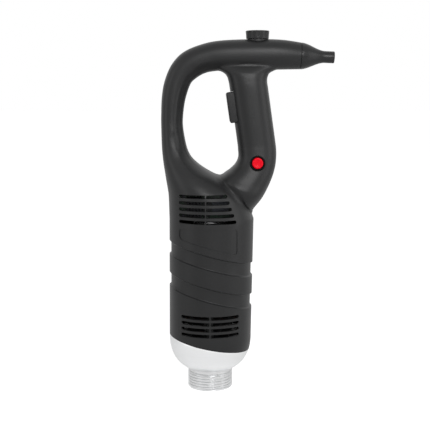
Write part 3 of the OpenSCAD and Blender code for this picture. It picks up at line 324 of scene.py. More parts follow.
def rounded(corners, radius, steps=5):
    """An open path of [radius, height] corners whose inner corners become arcs.

    Each corner is replaced by the quadratic curve (1 - t)^2 a + 2t(1 - t) b + t^2 c from a point before it to a point
    after it, both radius away or half a side if that is less.
    """
    p = np.asarray(corners, float)
    before, here, after = p[:-2], p[1:-1], p[2:]
    back, on = before - here, after - here
    long_back, long_on = np.linalg.norm(back, axis=1)[:, None], np.linalg.norm(on, axis=1)[:, None]
    a = here + back / long_back * np.minimum(radius, long_back / 2.01)
    c = here + on / long_on * np.minimum(radius, long_on / 2.01)
    t = np.linspace(0, 1, steps)[None, :, None]
    arcs = (1 - t) ** 2 * a[:, None] + 2 * t * (1 - t) * here[:, None] + t**2 * c[:, None]
    return np.concatenate([p[:1], arcs.reshape(-1, 2), p[-1:]])


def rounded_loop(corners, radius, steps=5):
    """A closed path of corners, all of them made arcs as in rounded."""
    p = np.asarray(corners, float)
    path = rounded(np.concatenate([p[-1:], p, p[:1]]), radius, steps)
    return path[1:-1]


def resampled(path, spacing):
    """The closed path with points added evenly on each side, so that neighbours lie no further apart than spacing."""
    p = np.asarray(path, float)
    side = np.roll(p, -1, axis=0) - p
    parts = np.maximum(1, np.ceil(np.linalg.norm(side, axis=1) / spacing)).astype(int)
    row = np.repeat(np.arange(len(p)), parts)
    share = (np.arange(parts.sum()) - np.repeat(np.cumsum(parts) - parts, parts)) / parts[row]
    return p[row] + share[:, None] * side[row]


def placed(grid, origin, up, side):
    """Points of a grid with its own Z along up, its X along side and its origin at origin."""
    up, side = np.asarray(up, float), np.asarray(side, float)
    across_both = np.cross(up, side)
    return np.asarray(origin, float) + grid[..., 0:1] * side + grid[..., 1:2] * across_both + grid[..., 2:3] * up


def across(place):
    """The frame of a piece whose own Z runs along +Y through place (x, z)."""
    return (place[0], 0, place[1]), (0, 1, 0), (1, 0, 0)


def rod(name, radius, low, high, count, stand):
    """A plain round rod along the way out of a frame, from low to high. It only cuts other pieces."""
    return capped_piece(name, placed(turned([[radius, low], [radius, high]], count), *stand))


def block(name, low, high, tilt=0.0, origin=(0, 0, 0)):
    """A plain box between two corners, turned by tilt about Y and moved to origin. It only cuts other pieces."""
    corner = np.array([[x, y, z] for x in (low[0], high[0]) for y in (low[1], high[1]) for z in (low[2], high[2])],
                      float)
    c, s = math.cos(tilt), math.sin(tilt)
    turned_corner = corner @ np.array([[c, 0, -s], [0, 1, 0], [s, 0, c]]) + origin
    faces = [[0, 1, 3, 2], [4, 6, 7, 5], [0, 4, 5, 1], [2, 3, 7, 6], [0, 2, 6, 4], [1, 5, 7, 3]]
    return new_piece(name, turned_corner, faces)


def joined(name, pieces):
    """One object that holds the meshes of all the pieces, which are removed."""
    bm = bmesh.new()
    for piece in pieces:
        bm.from_mesh(piece.data)
        bpy.data.objects.remove(piece)
    mesh = bpy.data.meshes.new(name)
    bm.to_mesh(mesh)
    bm.free()
    whole = bpy.data.objects.new(name, mesh)
    bpy.context.scene.collection.objects.link(whole)
    return whole


def shaped(target, operation, *tools):
    """The target after an exact Boolean with each tool in turn. The tools are removed."""
    for tool in tools:
        modifier = target.modifiers.new("shape", "BOOLEAN")
        modifier.object, modifier.operation, modifier.solver = tool, operation, "EXACT"
        depsgraph = bpy.context.evaluated_depsgraph_get()
        mesh = bpy.data.meshes.new_from_object(target.evaluated_get(depsgraph))
        target.modifiers.clear()
        target.data = mesh
        bpy.data.objects.remove(tool)
        bm = bmesh.new()
        bm.from_mesh(mesh)
        bmesh.ops.remove_doubles(bm, verts=bm.verts, dist=1e-6)
        bmesh.ops.dissolve_degenerate(bm, edges=bm.edges, dist=1e-6)
        bm.to_mesh(mesh)
        bm.free()
    return target


def softened(piece, reach, rounds, past):
    """Softens the creases where two skins meet, where past is true of a crease's middle, given in metres.

    Each point's distance d from the nearest crease is measured along the edges. In every round a point moves towards
    the mean of its neighbours, weighed by 1 / edge length, by the share (1 - (d / reach)^2)^2. One beyond reach stays.
    """
    mesh = piece.data
    points = np.empty(3 * len(mesh.vertices))
    mesh.vertices.foreach_get("co", points)
    points = points.reshape(-1, 3)
    bm = bmesh.new()
    bm.from_mesh(mesh)
    sharp = [edge.index for edge in bm.edges if edge.calc_face_angle(0.0) > 0.4]
    bm.free()
    ends = np.empty(2 * len(mesh.edges), int)
    mesh.edges.foreach_get("vertices", ends)
    ends = ends.reshape(-1, 2)
    middle = points[ends[sharp]].mean(axis=1)
    seeds = ends[sharp][past(middle)]
    distance = np.full(len(points), np.inf)
    distance[seeds.ravel()] = 0
    length = np.linalg.norm(points[ends[:, 0]] - points[ends[:, 1]], axis=1)
    for _ in range(24):
        np.minimum.at(distance, ends[:, 0], distance[ends[:, 1]] + length)
        np.minimum.at(distance, ends[:, 1], distance[ends[:, 0]] + length)
    share = (np.clip(1 - (distance / reach) ** 2, 0, 1) ** 2)[:, None]
    both, other = ends.ravel(), ends[:, ::-1].ravel()
    weight = np.repeat(1 / np.maximum(length, 0.0003), 2)
    weights = np.bincount(both, weight, len(points))[:, None]
    for _ in range(rounds):
        mean = np.stack([np.bincount(both, weight * points[other, k], len(points)) for k in range(3)], axis=1) / weights
        points += share * (mean - points)
    mesh.vertices.foreach_set("co", points.ravel())
    mesh.update()
    return piece


def eased_edges(piece, width, angle=38):
    """Adds a small rounded bevel to a piece's edges that are sharper than angle degrees."""
    bevel = piece.modifiers.new("Eased edges", "BEVEL")
    bevel.width, bevel.segments, bevel.limit_method = width, 2, "ANGLE"
    bevel.angle_limit = math.radians(angle)
    bevel.miter_outer = "MITER_ARC"
    bevel.use_clamp_overlap = True


def dressed(piece, material, slot, body, *nodes, crisp=32):
    """Gives a piece its material and body, and lets it stand for the named nodes. The slot is not used.

    It is shaded smoothly, with edges sharper than crisp degrees kept crisp.
    """
    piece.data.shade_smooth()
    piece.data.set_sharp_from_angle(angle=math.radians(crisp))
    piece.data.materials.clear()
    piece.data.materials.append(material)
    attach(piece, body)
    if nodes:
        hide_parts(*nodes)


# ---------- finishes ----------


def feed(tree, socket, value):
    """Links value into a socket where it is itself a socket, and sets it there where it is a number or colour."""
    if isinstance(value, bpy.types.NodeSocket):
        tree.links.new(value, socket)
    else:
        socket.default_value = value


def new_node(tree, kind, **values):
    """A node of the given kind; values name its attributes, or its inputs where it has no such attribute."""
    node = tree.nodes.new(kind)
    for key, value in values.items():
        if hasattr(node, key):
            setattr(node, key, value)
        else:
            feed(tree, node.inputs[key.replace("_", " ")], value)
    return node


def fed(tree, node, **values):
    """Feeds a node's named inputs, with _ for a space."""
    for label, value in values.items():
        feed(tree, node.inputs[label.replace("_", " ")], value)
    return node


def math_node(tree, operation, *values, clamp=False):
    """The output of a Math node on sockets or numbers."""
    node = new_node(tree, "ShaderNodeMath", operation=operation, use_clamp=clamp)
    for socket, value in zip(node.inputs, values):
        feed(tree, socket, value)
    return node.outputs[0]


def plus(tree, a, b):
    """The sum of two sockets or numbers."""
    return math_node(tree, "ADD", a, b)


def times(tree, a, b):
    """The product of two sockets or numbers."""
    return math_node(tree, "MULTIPLY", a, b)


def object_place(tree):
    """The object coordinates of a surface point."""
    return new_node(tree, "ShaderNodeTexCoord").outputs["Object"]


def noise(tree, place, scale, detail=3.0, roughness=0.5):
    """A noise value at a place, at the given scale in features a metre."""
    node = new_node(tree, "ShaderNodeTexNoise", Vector=place, Scale=scale, Detail=detail, Roughness=roughness)
    return node.outputs["Fac"]


def effect_group(name, inputs, outputs):
    """A shader node group with named float inputs and outputs; returns the group and its two end nodes."""
    group = bpy.data.node_groups.new(name, "ShaderNodeTree")
    for label, value in inputs.items():
        socket = group.interface.new_socket(name=label, in_out="INPUT", socket_type="NodeSocketFloat")
        socket.default_value = value
    for label in outputs:
        group.interface.new_socket(name=label, in_out="OUTPUT", socket_type="NodeSocketFloat")
    return group, group.nodes.new("NodeGroupInput"), group.nodes.new("NodeGroupOutput")


def grain_group():
    """Fine spark-eroded mould grain: height from two sizes of noise, and a broad shade that drifts over the piece."""
    group, start, end = effect_group(
        "Mould grain", {"Grain size": 2400.0, "Drift size": 22.0}, ["Height", "Drift", "Fleck"])
    place, size = object_place(group), start.outputs["Grain size"]
    fine = noise(group, place, size, 2.0, 0.6)
    coarse = noise(group, place, times(group, size, 0.33), 2.0, 0.5)
    fed(group, end, Height=plus(group, times(group, fine, 0.6), times(group, coarse, 0.4)),
        Drift=noise(group, place, start.outputs["Drift size"], 3.0, 0.55),
        Fleck=math_node(group, "GREATER_THAN", noise(group, place, 3100.0, 0.0), 0.74))
    return group


def scuff_group():
    """Faint rubbed patches and hairline scratches: a broad mask of noise times fine stretched noise."""
    group, start, end = effect_group("Scuffs", {"Amount": 0.5, "Patch size": 30.0}, ["Mask", "Scratch"])
    place = object_place(group)
    patch = noise(group, place, start.outputs["Patch size"], 4.0, 0.6)
    above = math_node(group, "SUBTRACT", patch, 0.52, clamp=True)
    spread = math_node(group, "MULTIPLY", above, 6.0, clamp=True)
    stretch = new_node(group, "ShaderNodeMapping", Vector=place, Scale=(1.0, 1.0, 0.06), Rotation=(0.35, 0.2, 0.4))
    line = noise(group, stretch.outputs["Vector"], 900.0, 1.0, 0.5)
    fed(group, end, Mask=math_node(group, "MULTIPLY", spread, start.outputs["Amount"], clamp=True),
        Scratch=times(group, math_node(group, "GREATER_THAN", line, 0.71), spread))
    return group


def turning_group():
    """Lathe marks about the Z axis: noise that changes with height and distance from the axis but hardly round it."""
    group, start, end = effect_group("Turning marks", {"Lines": 2600.0}, ["Height", "Shade", "Blotch"])
    place, lines = object_place(group), start.outputs["Lines"]
    x, y, z = new_node(group, "ShaderNodeSeparateXYZ", Vector=place).outputs
    radius = math_node(group, "SQRT", plus(group, times(group, x, x), times(group, y, y)))
    along = new_node(group, "ShaderNodeCombineXYZ", X=radius, Y=times(group, x, 0.01), Z=z).outputs[0]
    fine = noise(group, along, lines, 3.0, 0.7)
    wide = noise(group, along, times(group, lines, 0.08), 2.0, 0.6)
    fed(group, end, Height=fine, Shade=plus(group, times(group, fine, 0.5), times(group, wide, 0.5)),
        Blotch=noise(group, place, 45.0, 4.0, 0.6))
    return group


def stacked_group():
    """Sheets or wires stacked along Z: a wave along the height, broken up a little by noise."""
    group, start, end = effect_group("Stacked layers", {"Layers": 1000.0}, ["Height", "Shade"])
    place = object_place(group)
    height = new_node(group, "ShaderNodeSeparateXYZ", Vector=place).outputs[2]
    wobble = times(group, noise(group, place, 160.0, 2.0), 1.2)
    phase = plus(group, times(group, height, start.outputs["Layers"]), wobble)
    wave = math_node(group, "SINE", times(group, phase, 2 * math.pi))
    shade = times(group, plus(group, wave, 1.0), 0.5)
    fed(group, end, Height=shade, Shade=shade)
    return group


GROUPS = {"grain": grain_group, "scuff": scuff_group, "turning": turning_group, "stack": stacked_group}
MADE_GROUPS = {}


def effect(tree, kind, **values):
    """The outputs of a node that places the named effect group, built the first time it is asked for."""
    if kind not in MADE_GROUPS:
        MADE_GROUPS[kind] = GROUPS[kind]()
    node = tree.nodes.new("ShaderNodeGroup")
    node.node_tree = MADE_GROUPS[kind]
    return fed(tree, node, **values).outputs


def colour_between(tree, mask, first, second):
    """A colour that runs from first to second with the mask."""
    mix = new_node(tree, "ShaderNodeMix", data_type="RGBA")
    feed(tree, mix.inputs[0], mask)
    for socket, value in zip(mix.inputs[6:8], (first, second)):
        feed(tree, socket, value if isinstance(value, bpy.types.NodeSocket) else (*value, 1.0))
    return mix.outputs[2]


def value_between(tree, mask, low, high):
    """A number that runs from low to high as the mask runs from 0 to 1."""
    return new_node(tree, "ShaderNodeMapRange", Value=mask, To_Min=low, To_Max=high).outputs["Result"]


def bump(tree, height, distance):
    """A normal from a height of the given distance in metres."""
    return new_node(tree, "ShaderNodeBump", Strength=1.0, Distance=distance, Height=height).outputs["Normal"]


def new_material(name, **values):
    """A material with a Principled BSDF, whose fixed values are set on its own sockets."""
    material = bpy.data.materials.new(name)
    material.use_nodes = True
    tree = material.node_tree
    return material, tree, fed(tree, tree.nodes["Principled BSDF"], **values)


def tinted(colour, factor):
    """A colour with each channel multiplied by factor and kept at most 1."""
    return tuple(min(1.0, c * factor) for c in colour)


def moulded_plastic(name, colour, roughness=0.4, grain=2400.0, depth=0.00003, scuffs=0.35, specular=0.28):
    """Moulded plastic: fine grain, a slow drift of shade, pale flecks and rubbed patches that are a little glossier."""
    material, tree, shader = new_material(name, Specular_IOR_Level=specular)
    skin, worn = effect(tree, "grain", Grain_size=grain), effect(tree, "scuff", Amount=scuffs)
    body = colour_between(tree, skin["Drift"], tinted(colour, 0.86), tinted(colour, 1.16))
    flecked = colour_between(tree, times(tree, skin["Fleck"], 0.25), body, tinted(colour, 2.2))
    rubbed = colour_between(tree, times(tree, worn["Mask"], 0.4), flecked, tinted(colour, 1.5))
    dull = value_between(tree, skin["Drift"], roughness - 0.05, roughness + 0.06)
    rough = math_node(tree, "SUBTRACT", dull, times(tree, worn["Mask"], 0.08))
    height = math_node(tree, "SUBTRACT", skin["Height"], times(tree, worn["Scratch"], 0.5))
    fed(tree, shader, Base_Color=rubbed, Roughness=rough, Normal=bump(tree, height, depth))
    return material


def turned_metal(name, colour, roughness=0.3, lines=2600.0, depth=0.00002):
    """Turned metal: fine lathe rings in height, shade and gloss, with soft blotches of oxide."""
    material, tree, shader = new_material(name, Metallic=1.0)
    marks = effect(tree, "turning", Lines=lines)
    body = colour_between(tree, marks["Shade"], tinted(colour, 0.9), tinted(colour, 1.06))
    blotched = colour_between(tree, times(tree, marks["Blotch"], 0.12), body, tinted(colour, 0.8))
    rough = value_between(tree, marks["Shade"], roughness - 0.07, roughness + 0.1)
    fed(tree, shader, Base_Color=blotched, Roughness=rough, Normal=bump(tree, marks["Height"], depth))
    return material


def layered_stack(name, colour, gap_colour, layers, metallic, roughness, depth=0.0001):
    """Sheets or wires side by side: a colour for each layer, a darker one in the gaps, and a height that follows."""
    material, tree, shader = new_material(name, Metallic=metallic)
    stack, worn = effect(tree, "stack", Layers=layers), effect(tree, "scuff", Amount=0.5)
    body = colour_between(tree, stack["Shade"], gap_colour, colour)
    rubbed = colour_between(tree, times(tree, worn["Mask"], 0.5), body, tinted(colour, 0.7))
    rough = value_between(tree, worn["Mask"], roughness, roughness + 0.15)
    fed(tree, shader, Base_Color=rubbed, Roughness=rough, Normal=bump(tree, stack["Height"], depth))
    return material


def circuit_board(name):
    """Green board: cells of a Voronoi pattern, snapped to lines, stand for tracks under the solder mask."""
    material, tree, shader = new_material(name, Roughness=0.35)
    place = object_place(tree)
    cells = new_node(tree, "ShaderNodeTexVoronoi", feature="DISTANCE_TO_EDGE", Scale=230.0, Vector=place)
    track = math_node(tree, "LESS_THAN", cells.outputs["Distance"], 0.12)
    ground = colour_between(tree, noise(tree, place, 60.0, 3.0), (0.003, 0.012, 0.006), (0.005, 0.02, 0.01))
    fed(tree, shader, Base_Color=colour_between(tree, track, ground, (0.01, 0.045, 0.02)),
        Normal=bump(tree, track, 0.00004))
    return material


def studio_floor(colour):
    """Plain white floor with a faint unevenness; seen or mirrored, it carries just enough glow to read as white."""
    material, tree, shader = new_material("Plain floor", Roughness=0.9, Specular_IOR_Level=0.0)
    patch = noise(tree, object_place(tree), 3.0, 2.0)
    fed(tree, shader, Base_Color=colour_between(tree, patch, tinted(colour, 0.995), tinted(colour, 1.005)))
    rays = new_node(tree, "ShaderNodeLightPath").outputs
    mirrored = math_node(tree, "MAXIMUM", rays["Is Glossy Ray"], rays["Is Transmission Ray"])
    seen = plus(tree, times(tree, rays["Is Camera Ray"], 0.72), times(tree, mirrored, 0.3))
    glow = new_node(tree, "ShaderNodeEmission", Strength=seen)
    both = tree.nodes.new("ShaderNodeAddShader")
    feed(tree, both.inputs[0], shader.outputs[0])
    feed(tree, both.inputs[1], glow.outputs[0])
    feed(tree, tree.nodes["Material Output"].inputs["Surface"], both.outputs[0])
    return material


# ---------- housing ----------


def slot_cutter(x0, x1, z, round_left, round_right):
    """A straight air slot along X: its outline has a half circle at a rounded end and small corners at a square one."""
    half = SLOT_HEIGHT / 2

    def end(x, way, is_round):
        radius = half if is_round else 0.5
        angle = np.linspace(-90, 90, 13) * math.pi / 180
        lift = np.where(angle > 0, half - radius, radius - half) if radius < half else 0 * angle
        return np.stack([x + way * (radius * np.cos(angle) - radius), radius * np.sin(angle) + lift], axis=1)

    right, left = end(x1, 1, round_right), end(x0, -1, round_left)[::-1]
    outline = np.concatenate([right, left])
    near = np.stack([outline[:, 0], 0 * outline[:, 0] - 8, z + outline[:, 1]], axis=1)
    far = near.copy()
    far[:, 1] = -70
    return capped_piece("slot", np.stack([near, far]))


def air_slots():
    """Cutters of the five upper and four lower rows of air slots on the -Y side, each row parted by a thin rib."""
    cuts = []
    for row in range(UPPER_ROWS):
        z = UPPER_Z + UPPER_PITCH * row
        cuts += [slot_cutter(-33, UPPER_RIB[0], z, True, False),
                 slot_cutter(UPPER_RIB[1], 28 - 2.4 * row, z, False, True)]
    for row in range(LOWER_ROWS):
        z = LOWER_Z + LOWER_PITCH * row
        cuts += [slot_cutter(-31, LOWER_RIB[0], z, True, False), slot_cutter(LOWER_RIB[1], 31, z, False, True)]
    return joined("air slots", cuts)


def band_cutter(z, depth, radius):
    """A ring that cuts a slanted grip band round the barrel.

    Its section is a trough of the given depth with sloped, rounded sides. A point at angle a and section place (w, d)
    lies at the barrel's radius plus d, at height z - x tan 15 deg + w / cos 15 deg.
    """
    half = 7.5
    section = rounded_loop(
        [[-half - 1.2, 3], [-half - 0.1, 0], [-half + 0.9, -depth], [half - 0.9, -depth], [half + 0.1, 0],
         [half + 1.2, 3]], 0.7, 5)
    angle = 2 * math.pi * np.arange(240) / 240
    w, d = section[:, 0:1], section[:, 1:2]
    x = radius * np.cos(angle) + 0 * w
    for _ in range(4):
        height = z - x * math.tan(BAND_SLANT) + w / math.cos(BAND_SLANT)
        reach = skin_radius(height, radius) + d
        x = lean(height) + reach * np.cos(angle)
    return looped_piece("band", np.stack([x, reach * np.sin(angle), height], axis=-1))


def label_cutter(depth, radius):
    """Cuts the shallow bare recess under the upper air slots.

    Its outline has upright sides, a level top and a foot that follows the upper band, with rounded corners. Its back
    lies depth below the barrel's skin.
    """
    left, right, top, fall = -33, 29, 183, math.tan(BAND_SLANT)
    corners = [[left, 162.8 - left * fall], [right, 162.8 - right * fall], [right, top], [left, top]]
    outline = resampled(rounded_loop(corners, 4.0, 9), 1.2)
    scale = np.linspace(1, 0.02, 14)[:, None]
    x = -2 + (outline[:, 0] + 2) * scale
    z = 171 + (outline[:, 1] - 171) * scale
    back = -np.sqrt((skin_radius(z, radius) - depth) ** 2 - (x - lean(z)) ** 2)
    front = np.full(x.shape, -60.0)
    rows = np.concatenate([np.stack([x, front, z], -1)[::-1], np.stack([x, back, z], -1)])
    return capped_piece("recess", rows)


def pad_piece():
    """The round pad under the knob, from inside the top bar up to its upper face."""
    radius, foot, top = 10.7, 377.43, 383.37
    profile = rounded([[0.5, foot], [radius, foot], [radius, top], [0.5, top]], 0.3)
    return capped_piece("pad", placed(turned(profile, 96), *KNOB_FRAME))


def housing_skin(low, bow, radius):
    """The outside of barrel, bow and grip with the pad. The folds where the grip leaves the barrel are softened."""
    around, steps, rounds = ((144, 10, 20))
    middle = barrel_stations(np.linspace(CONE_START, CONE_END, 30)[1:-1], radius)
    body = capped_piece("housing", oval_rings(np.concatenate([low, middle, through(bow, steps)]), around))
    shaped(body, "UNION", capped_piece("grip", oval_rings(through(grip_stations(radius), steps), around)))
    softened(body, 0.009, 4 * rounds, lambda at: (at[:, 2] > 0.209) & (at[:, 2] < 0.28) & (at[:, 0] < 0.035))
    softened(body, 0.005, rounds, lambda at: (at[:, 2] > 0.2) & (at[:, 0] < 0.09))
    return shaped(body, "UNION", pad_piece())


def housing_hollow(low, bow, radius, wall):
    """The cavity of barrel, bow and grip, less the pad, the screw bosses and the two rings that hold the stator."""
    inside = drawn_in(np.concatenate([low, through(bow, 3)]), wall)
    past_seam = inside[-1:] + [8, -0.35, 8, -0.35, 0, 0, 0]
    hollow = capped_piece("hollow", oval_rings(np.concatenate([inside, past_seam]), 48))
    grip = drawn_in(through(grip_stations(radius), 3)[8:], wall)
    shaped(hollow, "UNION", capped_piece("grip hollow", oval_rings(grip, 48)))
    shaped(hollow, "DIFFERENCE", pad_piece())
    bosses = joined("bosses", [rod("boss", 3.6, -60, 60, 24, across(place)) for place in SCREW_PLACES])
    rings = joined("stator rings", [
        looped_piece("stator ring", turned([[36.3, z], [47, z], [47, z + 3], [36.3, z + 3]], 96)) for z in (98, 123)])
    shaped(rings, "DIFFERENCE", block("bolt notch", (-6, -41, 90), (6, 41, 130)))
    return shaped(hollow, "DIFFERENCE", bosses, rings)


def housing_solid(settings):
    """The whole hollow housing before its slots: its skin less the cavity, the grip bands and the openings."""
    radius, depth = settings.barrel_diameter / 2 / MM, settings.band_depth / MM
    low = barrel_stations(np.linspace(38, CONE_START, 16), radius)
    bow = bow_stations(radius, settings.ridge)
    body = shaped(housing_skin(low, bow, radius), "DIFFERENCE", housing_hollow(low, bow, radius, settings.wall / MM))
    shaped(body, "DIFFERENCE", *(band_cutter(z, depth, radius) for z in BAND_HEIGHTS))
    under = block("under joint", (-100, -100, -80), (100, 100, 0), JOINT_SLANT, (0, 0, JOINT_Z))
    shaped(body, "DIFFERENCE", under)
    window = block("trigger window", (-10, -13.3, -16.8), (9, 13.3, 16.8), -GRIP_TILT, TRIGGER_PLACE)
    bush = rod("bush hole", 4.6, 360, 400, 48, KNOB_FRAME)
    seat = rod("nozzle seat", 11, -6, 6, 96, NOZZLE_FRAME)
    return shaped(body, "DIFFERENCE", window, bush, seat)


def front_cutters(settings):
    """Cutters that only the front half has: slots, recess, and the hole and seat of the lock button's ring."""
    recess = label_cutter(settings.label_depth / MM, settings.barrel_diameter / 2 / MM)
    hole = rod("button hole", 7.7, 0, 60, 72, BUTTON_FRAME)
    return [air_slots(), recess, hole, rod("ring seat", 8.6, 21.7, 60, 72, BUTTON_FRAME)]


def rear_cutters():
    """Cutters that only the rear half has: its slots and the wells of the screws."""
    slots = air_slots()
    slots.data.transform(((1, 0, 0, 0), (0, -1, 0, 0), (0, 0, 1, 0), (0, 0, 0, 1)))
    slots.data.flip_normals()
    return [slots, joined("wells", [rod("well", 2.9, 11, 70, 32, across(place)) for place in SCREW_PLACES])]


class MOTORUNIT_OT_housing(bpy.types.Operator):
    """Builds the front and rear halves of the housing"""

    bl_idname = "motor_unit.housing"
    bl_label = "Housing halves"

    def execute(self, context):
        settings = context.scene.unit_housing
        plastic = moulded_plastic("Black moulded plastic", settings.colour)
        whole = housing_solid(settings)
        rear = whole.copy()
        rear.data = whole.data.copy()
        context.scene.collection.objects.link(rear)
        shaped(whole, "DIFFERENCE", block("rear side", (-100, -0.04, 0), (200, 100, 500)), *front_cutters(settings))
        shaped(rear, "DIFFERENCE", block("front side", (-100, -100, 0), (200, 0.04, 500)), *rear_cutters())
        for piece, name, node in ((whole, "front_shell", "housing_front"), (rear, "rear_shell", "housing_rear")):
            if not piece.data.polygons:
                raise RuntimeError(f"{name} came out empty")
            piece.name = name
            if settings.edge:
                eased_edges(piece, settings.edge)
            dressed(piece, plastic, "housing_plastic", "motor_unit", node)
        return {"FINISHED"}


# ---------- cap, collar and nozzle ----------


def cap_grid(radius):
    """Rings of the nose cap: its outside, the slanted joint, the lip inside the housing, the inner wall and the bore.

    A point on the joint at angle a and offset d inside the skin has radius skin - d and height 52.3 + rise -
    (skin - d) cos a tan 11 deg, found by repeating that sum from 52.3.
    """
    angle = 2 * math.pi * np.arange(256) / 256
    slope = math.tan(JOINT_SLANT)

    def on_joint(offset, rise):
        z = JOINT_Z + 0 * angle
        for _ in range(12):
            z = JOINT_Z + rise - (skin_radius(z, radius) - offset) * np.cos(angle) * slope
        return skin_radius(z, radius) - offset, z

    def at(r, z):
        return r + 0 * angle, z + 0 * angle

    top_z = on_joint(0, -0.45)[1]
    rows = [at(24.1, 29.9), at(24.1, 22.4), at(24.35, 22.05)]
    for share in np.linspace(0, 1, 48) ** 2:
        z = 22.05 + (top_z - 22.05) * share
        rows.append((skin_radius(z, radius), z))
    rows += [on_joint(0.12, -0.16), on_joint(0.45, -0.02), on_joint(3.8, -0.02), on_joint(3.8, 3.6), on_joint(4.2, 4),
             on_joint(6, 4), on_joint(6.2, 3.8), on_joint(6.2, 0)]
    inner = on_joint(6.2, -1)[1]
    for share in np.linspace(0, 1, 16):
        z = inner + (30.6 - inner) * share
        rows.append((skin_radius(z, radius) - 6.2, z))
    rows += [at(29.4, 30)]
    r, z = (np.array(part) for part in zip(*rows))
    return np.stack([r * np.cos(angle), r * np.sin(angle), z], axis=-1)


def thread_grid(pitch, depth):
    """Rings of the threaded collar.

    At height z and angle a the thread's phase is z / pitch - a / 2 pi. Its radius is 24.95 less the depth times the
    groove: 0 on the crest, 1 at the root and a smooth S between them. The groove fades out over the first and last 1.5.
    """
    count = 192
    angle = 2 * math.pi * np.arange(count) / count
    z = np.linspace(1.4, 18.4, 137)[:, None]
    turn = np.abs(((z / pitch - angle / (2 * math.pi)) % 1) * 2 - 1)
    flank = np.clip((turn - 0.28) / 0.42, 0, 1)
    groove = flank**2 * (3 - 2 * flank)
    fade = np.clip((z - 1.4) / 2.4, 0, 1) * np.clip((18.4 - z) / 2.4, 0, 1)
    r = 24.95 - depth * groove * np.minimum(1, fade * 1.6)
    threaded = np.stack([r * np.cos(angle), r * np.sin(angle), z + 0 * angle], axis=-1)
    below = turned([[19, 13.9], [19, 0.6], [19.5, 0], [23.5, 0], [23.95, 0.15], [24.75, 1.1]], count)
    above = turned([[24.75, 18.6], [24.3, 18.75], [23.8, 18.9], [23.8, 30], [29.0, 30], [29.2, 30.2], [29.2, 33.8],
                    [29.0, 34], [11.8, 34], [11.5, 33.7], [11.5, 14.3], [11.8, 14], [18.9, 14]], count)
    return np.concatenate([below, threaded, above])


class MOTORUNIT_OT_metalwork(bpy.types.Operator):
    """Builds the nose cap and the threaded collar"""

    bl_idname = "motor_unit.metalwork"
    bl_label = "Nose cap and collar"

    def execute(self, context):
        settings = context.scene.unit_metal
        radius = context.scene.unit_housing.barrel_diameter / 2 / MM
        cap = looped_piece("cap_casting", cap_grid(radius))
        satin = turned_metal("Satin cast aluminium", settings.colour, 0.36, 1500.0, 0.00001)
        dressed(cap, satin, "cast_aluminium", "motor_unit", "nose_cap")
        collar = looped_piece("coupling_collar", thread_grid(settings.thread_pitch / MM, settings.thread_depth / MM))
        bright = turned_metal("Turned aluminium", tinted(settings.colour, 0.84), 0.28, 3000.0, 0.00001)
        dressed(collar, bright, "machined_aluminium", "motor_unit", "threaded_collar", crisp=40)
        return {"FINISHED"}


class MOTORUNIT_OT_nozzle(bpy.types.Operator):
    """Builds the cord nozzle at the end of the top bar"""

    bl_idname = "motor_unit.nozzle"
    bl_label = "Cord nozzle"

    def execute(self, context):
        taper = 26.4
        reach = 0.75 + (taper - 0.75) * np.linspace(0, 1, 36)
        share = reach / taper
        outside = np.stack([14.2 - 7.9 * share**2 * (3 - 2 * share), reach], axis=1)
        profile = np.concatenate([
            [[13.6, 0.3], [13.9, 0.38], [14.1, 0.55]], outside, [[6.3, 28], [6.3, 32], [6.3, 35.8]],
            [[6.2, 36.12], [5.95, 36.33], [5.6, 36.4], [4.6, 36.4], [4.32, 36.3], [4.2, 36.05], [4.2, 22.4], [8.4, 4],
             [8.4, -4.2], [8.7, -4.5], [10.4, -4.5], [10.7, -4.2], [10.7, 0.3]]])
        piece = looped_piece("nozzle_sleeve", placed(turned(profile, 128), *NOZZLE_FRAME))
        plastic = moulded_plastic("Nozzle plastic", context.scene.unit_housing.colour, 0.33)
        dressed(piece, plastic, "housing_plastic", "motor_unit", "cord_nozzle")
        return {"FINISHED"}


# ---------- controls ----------


def knob_grid(diameter, flutes):
    """Rings of the speed knob, with shallow hollows round its wall.

    A hollow is part of a circle of radius 10 whose centre is 9.4 outside the wall. Along a ray at angle f from the
    hollow's middle it lies at c cos f - sqrt(100 - c^2 sin^2 f), where c is the centre's distance from the axis.
    """
    count = 40 * flutes
    angle = 2 * math.pi * np.arange(count) / count
    radius = diameter / 2
    centre = radius + 9.4
    apart = 2 * math.pi / flutes
    off = (angle + math.pi / 2 + apart / 2) % apart - apart / 2
    hollow = centre * np.cos(off) - np.sqrt(np.maximum(100 - (centre * np.sin(off)) ** 2, 0))
    hollow = np.where(np.abs(centre * np.sin(off)) < 10, hollow, radius)
    rows = np.array([
        # radius, height, share of the hollows
        [3.02, 2.7, 0], [3.02, 6, 0], [0.3, 6, 0]])
    outside = np.array([
        [8, 2.7, 0], [8, 0.2, 0], [8.3, 0, 0], [radius - 0.9, 0, 0], [radius - 0.62, 0.25, 0], [radius - 0.58, 0.7, 0],
        [radius - 0.52, 1.2, 1], [radius - 0.1, 6.4, 1], [radius - 0.06, 6.9, 0.8], [radius, 7.3, 0],
        [radius, 7.75, 0], [radius - 0.12, 8.0, 0], [radius - 0.55, 8.42, 0], [radius - 0.8, 8.55, 0],
        [radius - 1.2, 8.6, 0], [radius - 2.6, 8.58, 0], [radius - 3.1, 8.45, 0], [radius - 3.6, 8.4, 0],
        [0.3, 8.4, 0]])
    table = np.concatenate([rows[::-1], outside])
    fluted = np.minimum(table[:, 0:1], hollow)
    r = table[:, 0:1] * (1 - table[:, 2:3]) + fluted * table[:, 2:3]
    return np.stack([r * np.cos(angle), r * np.sin(angle), table[:, 1:2] + 0 * angle], axis=-1)


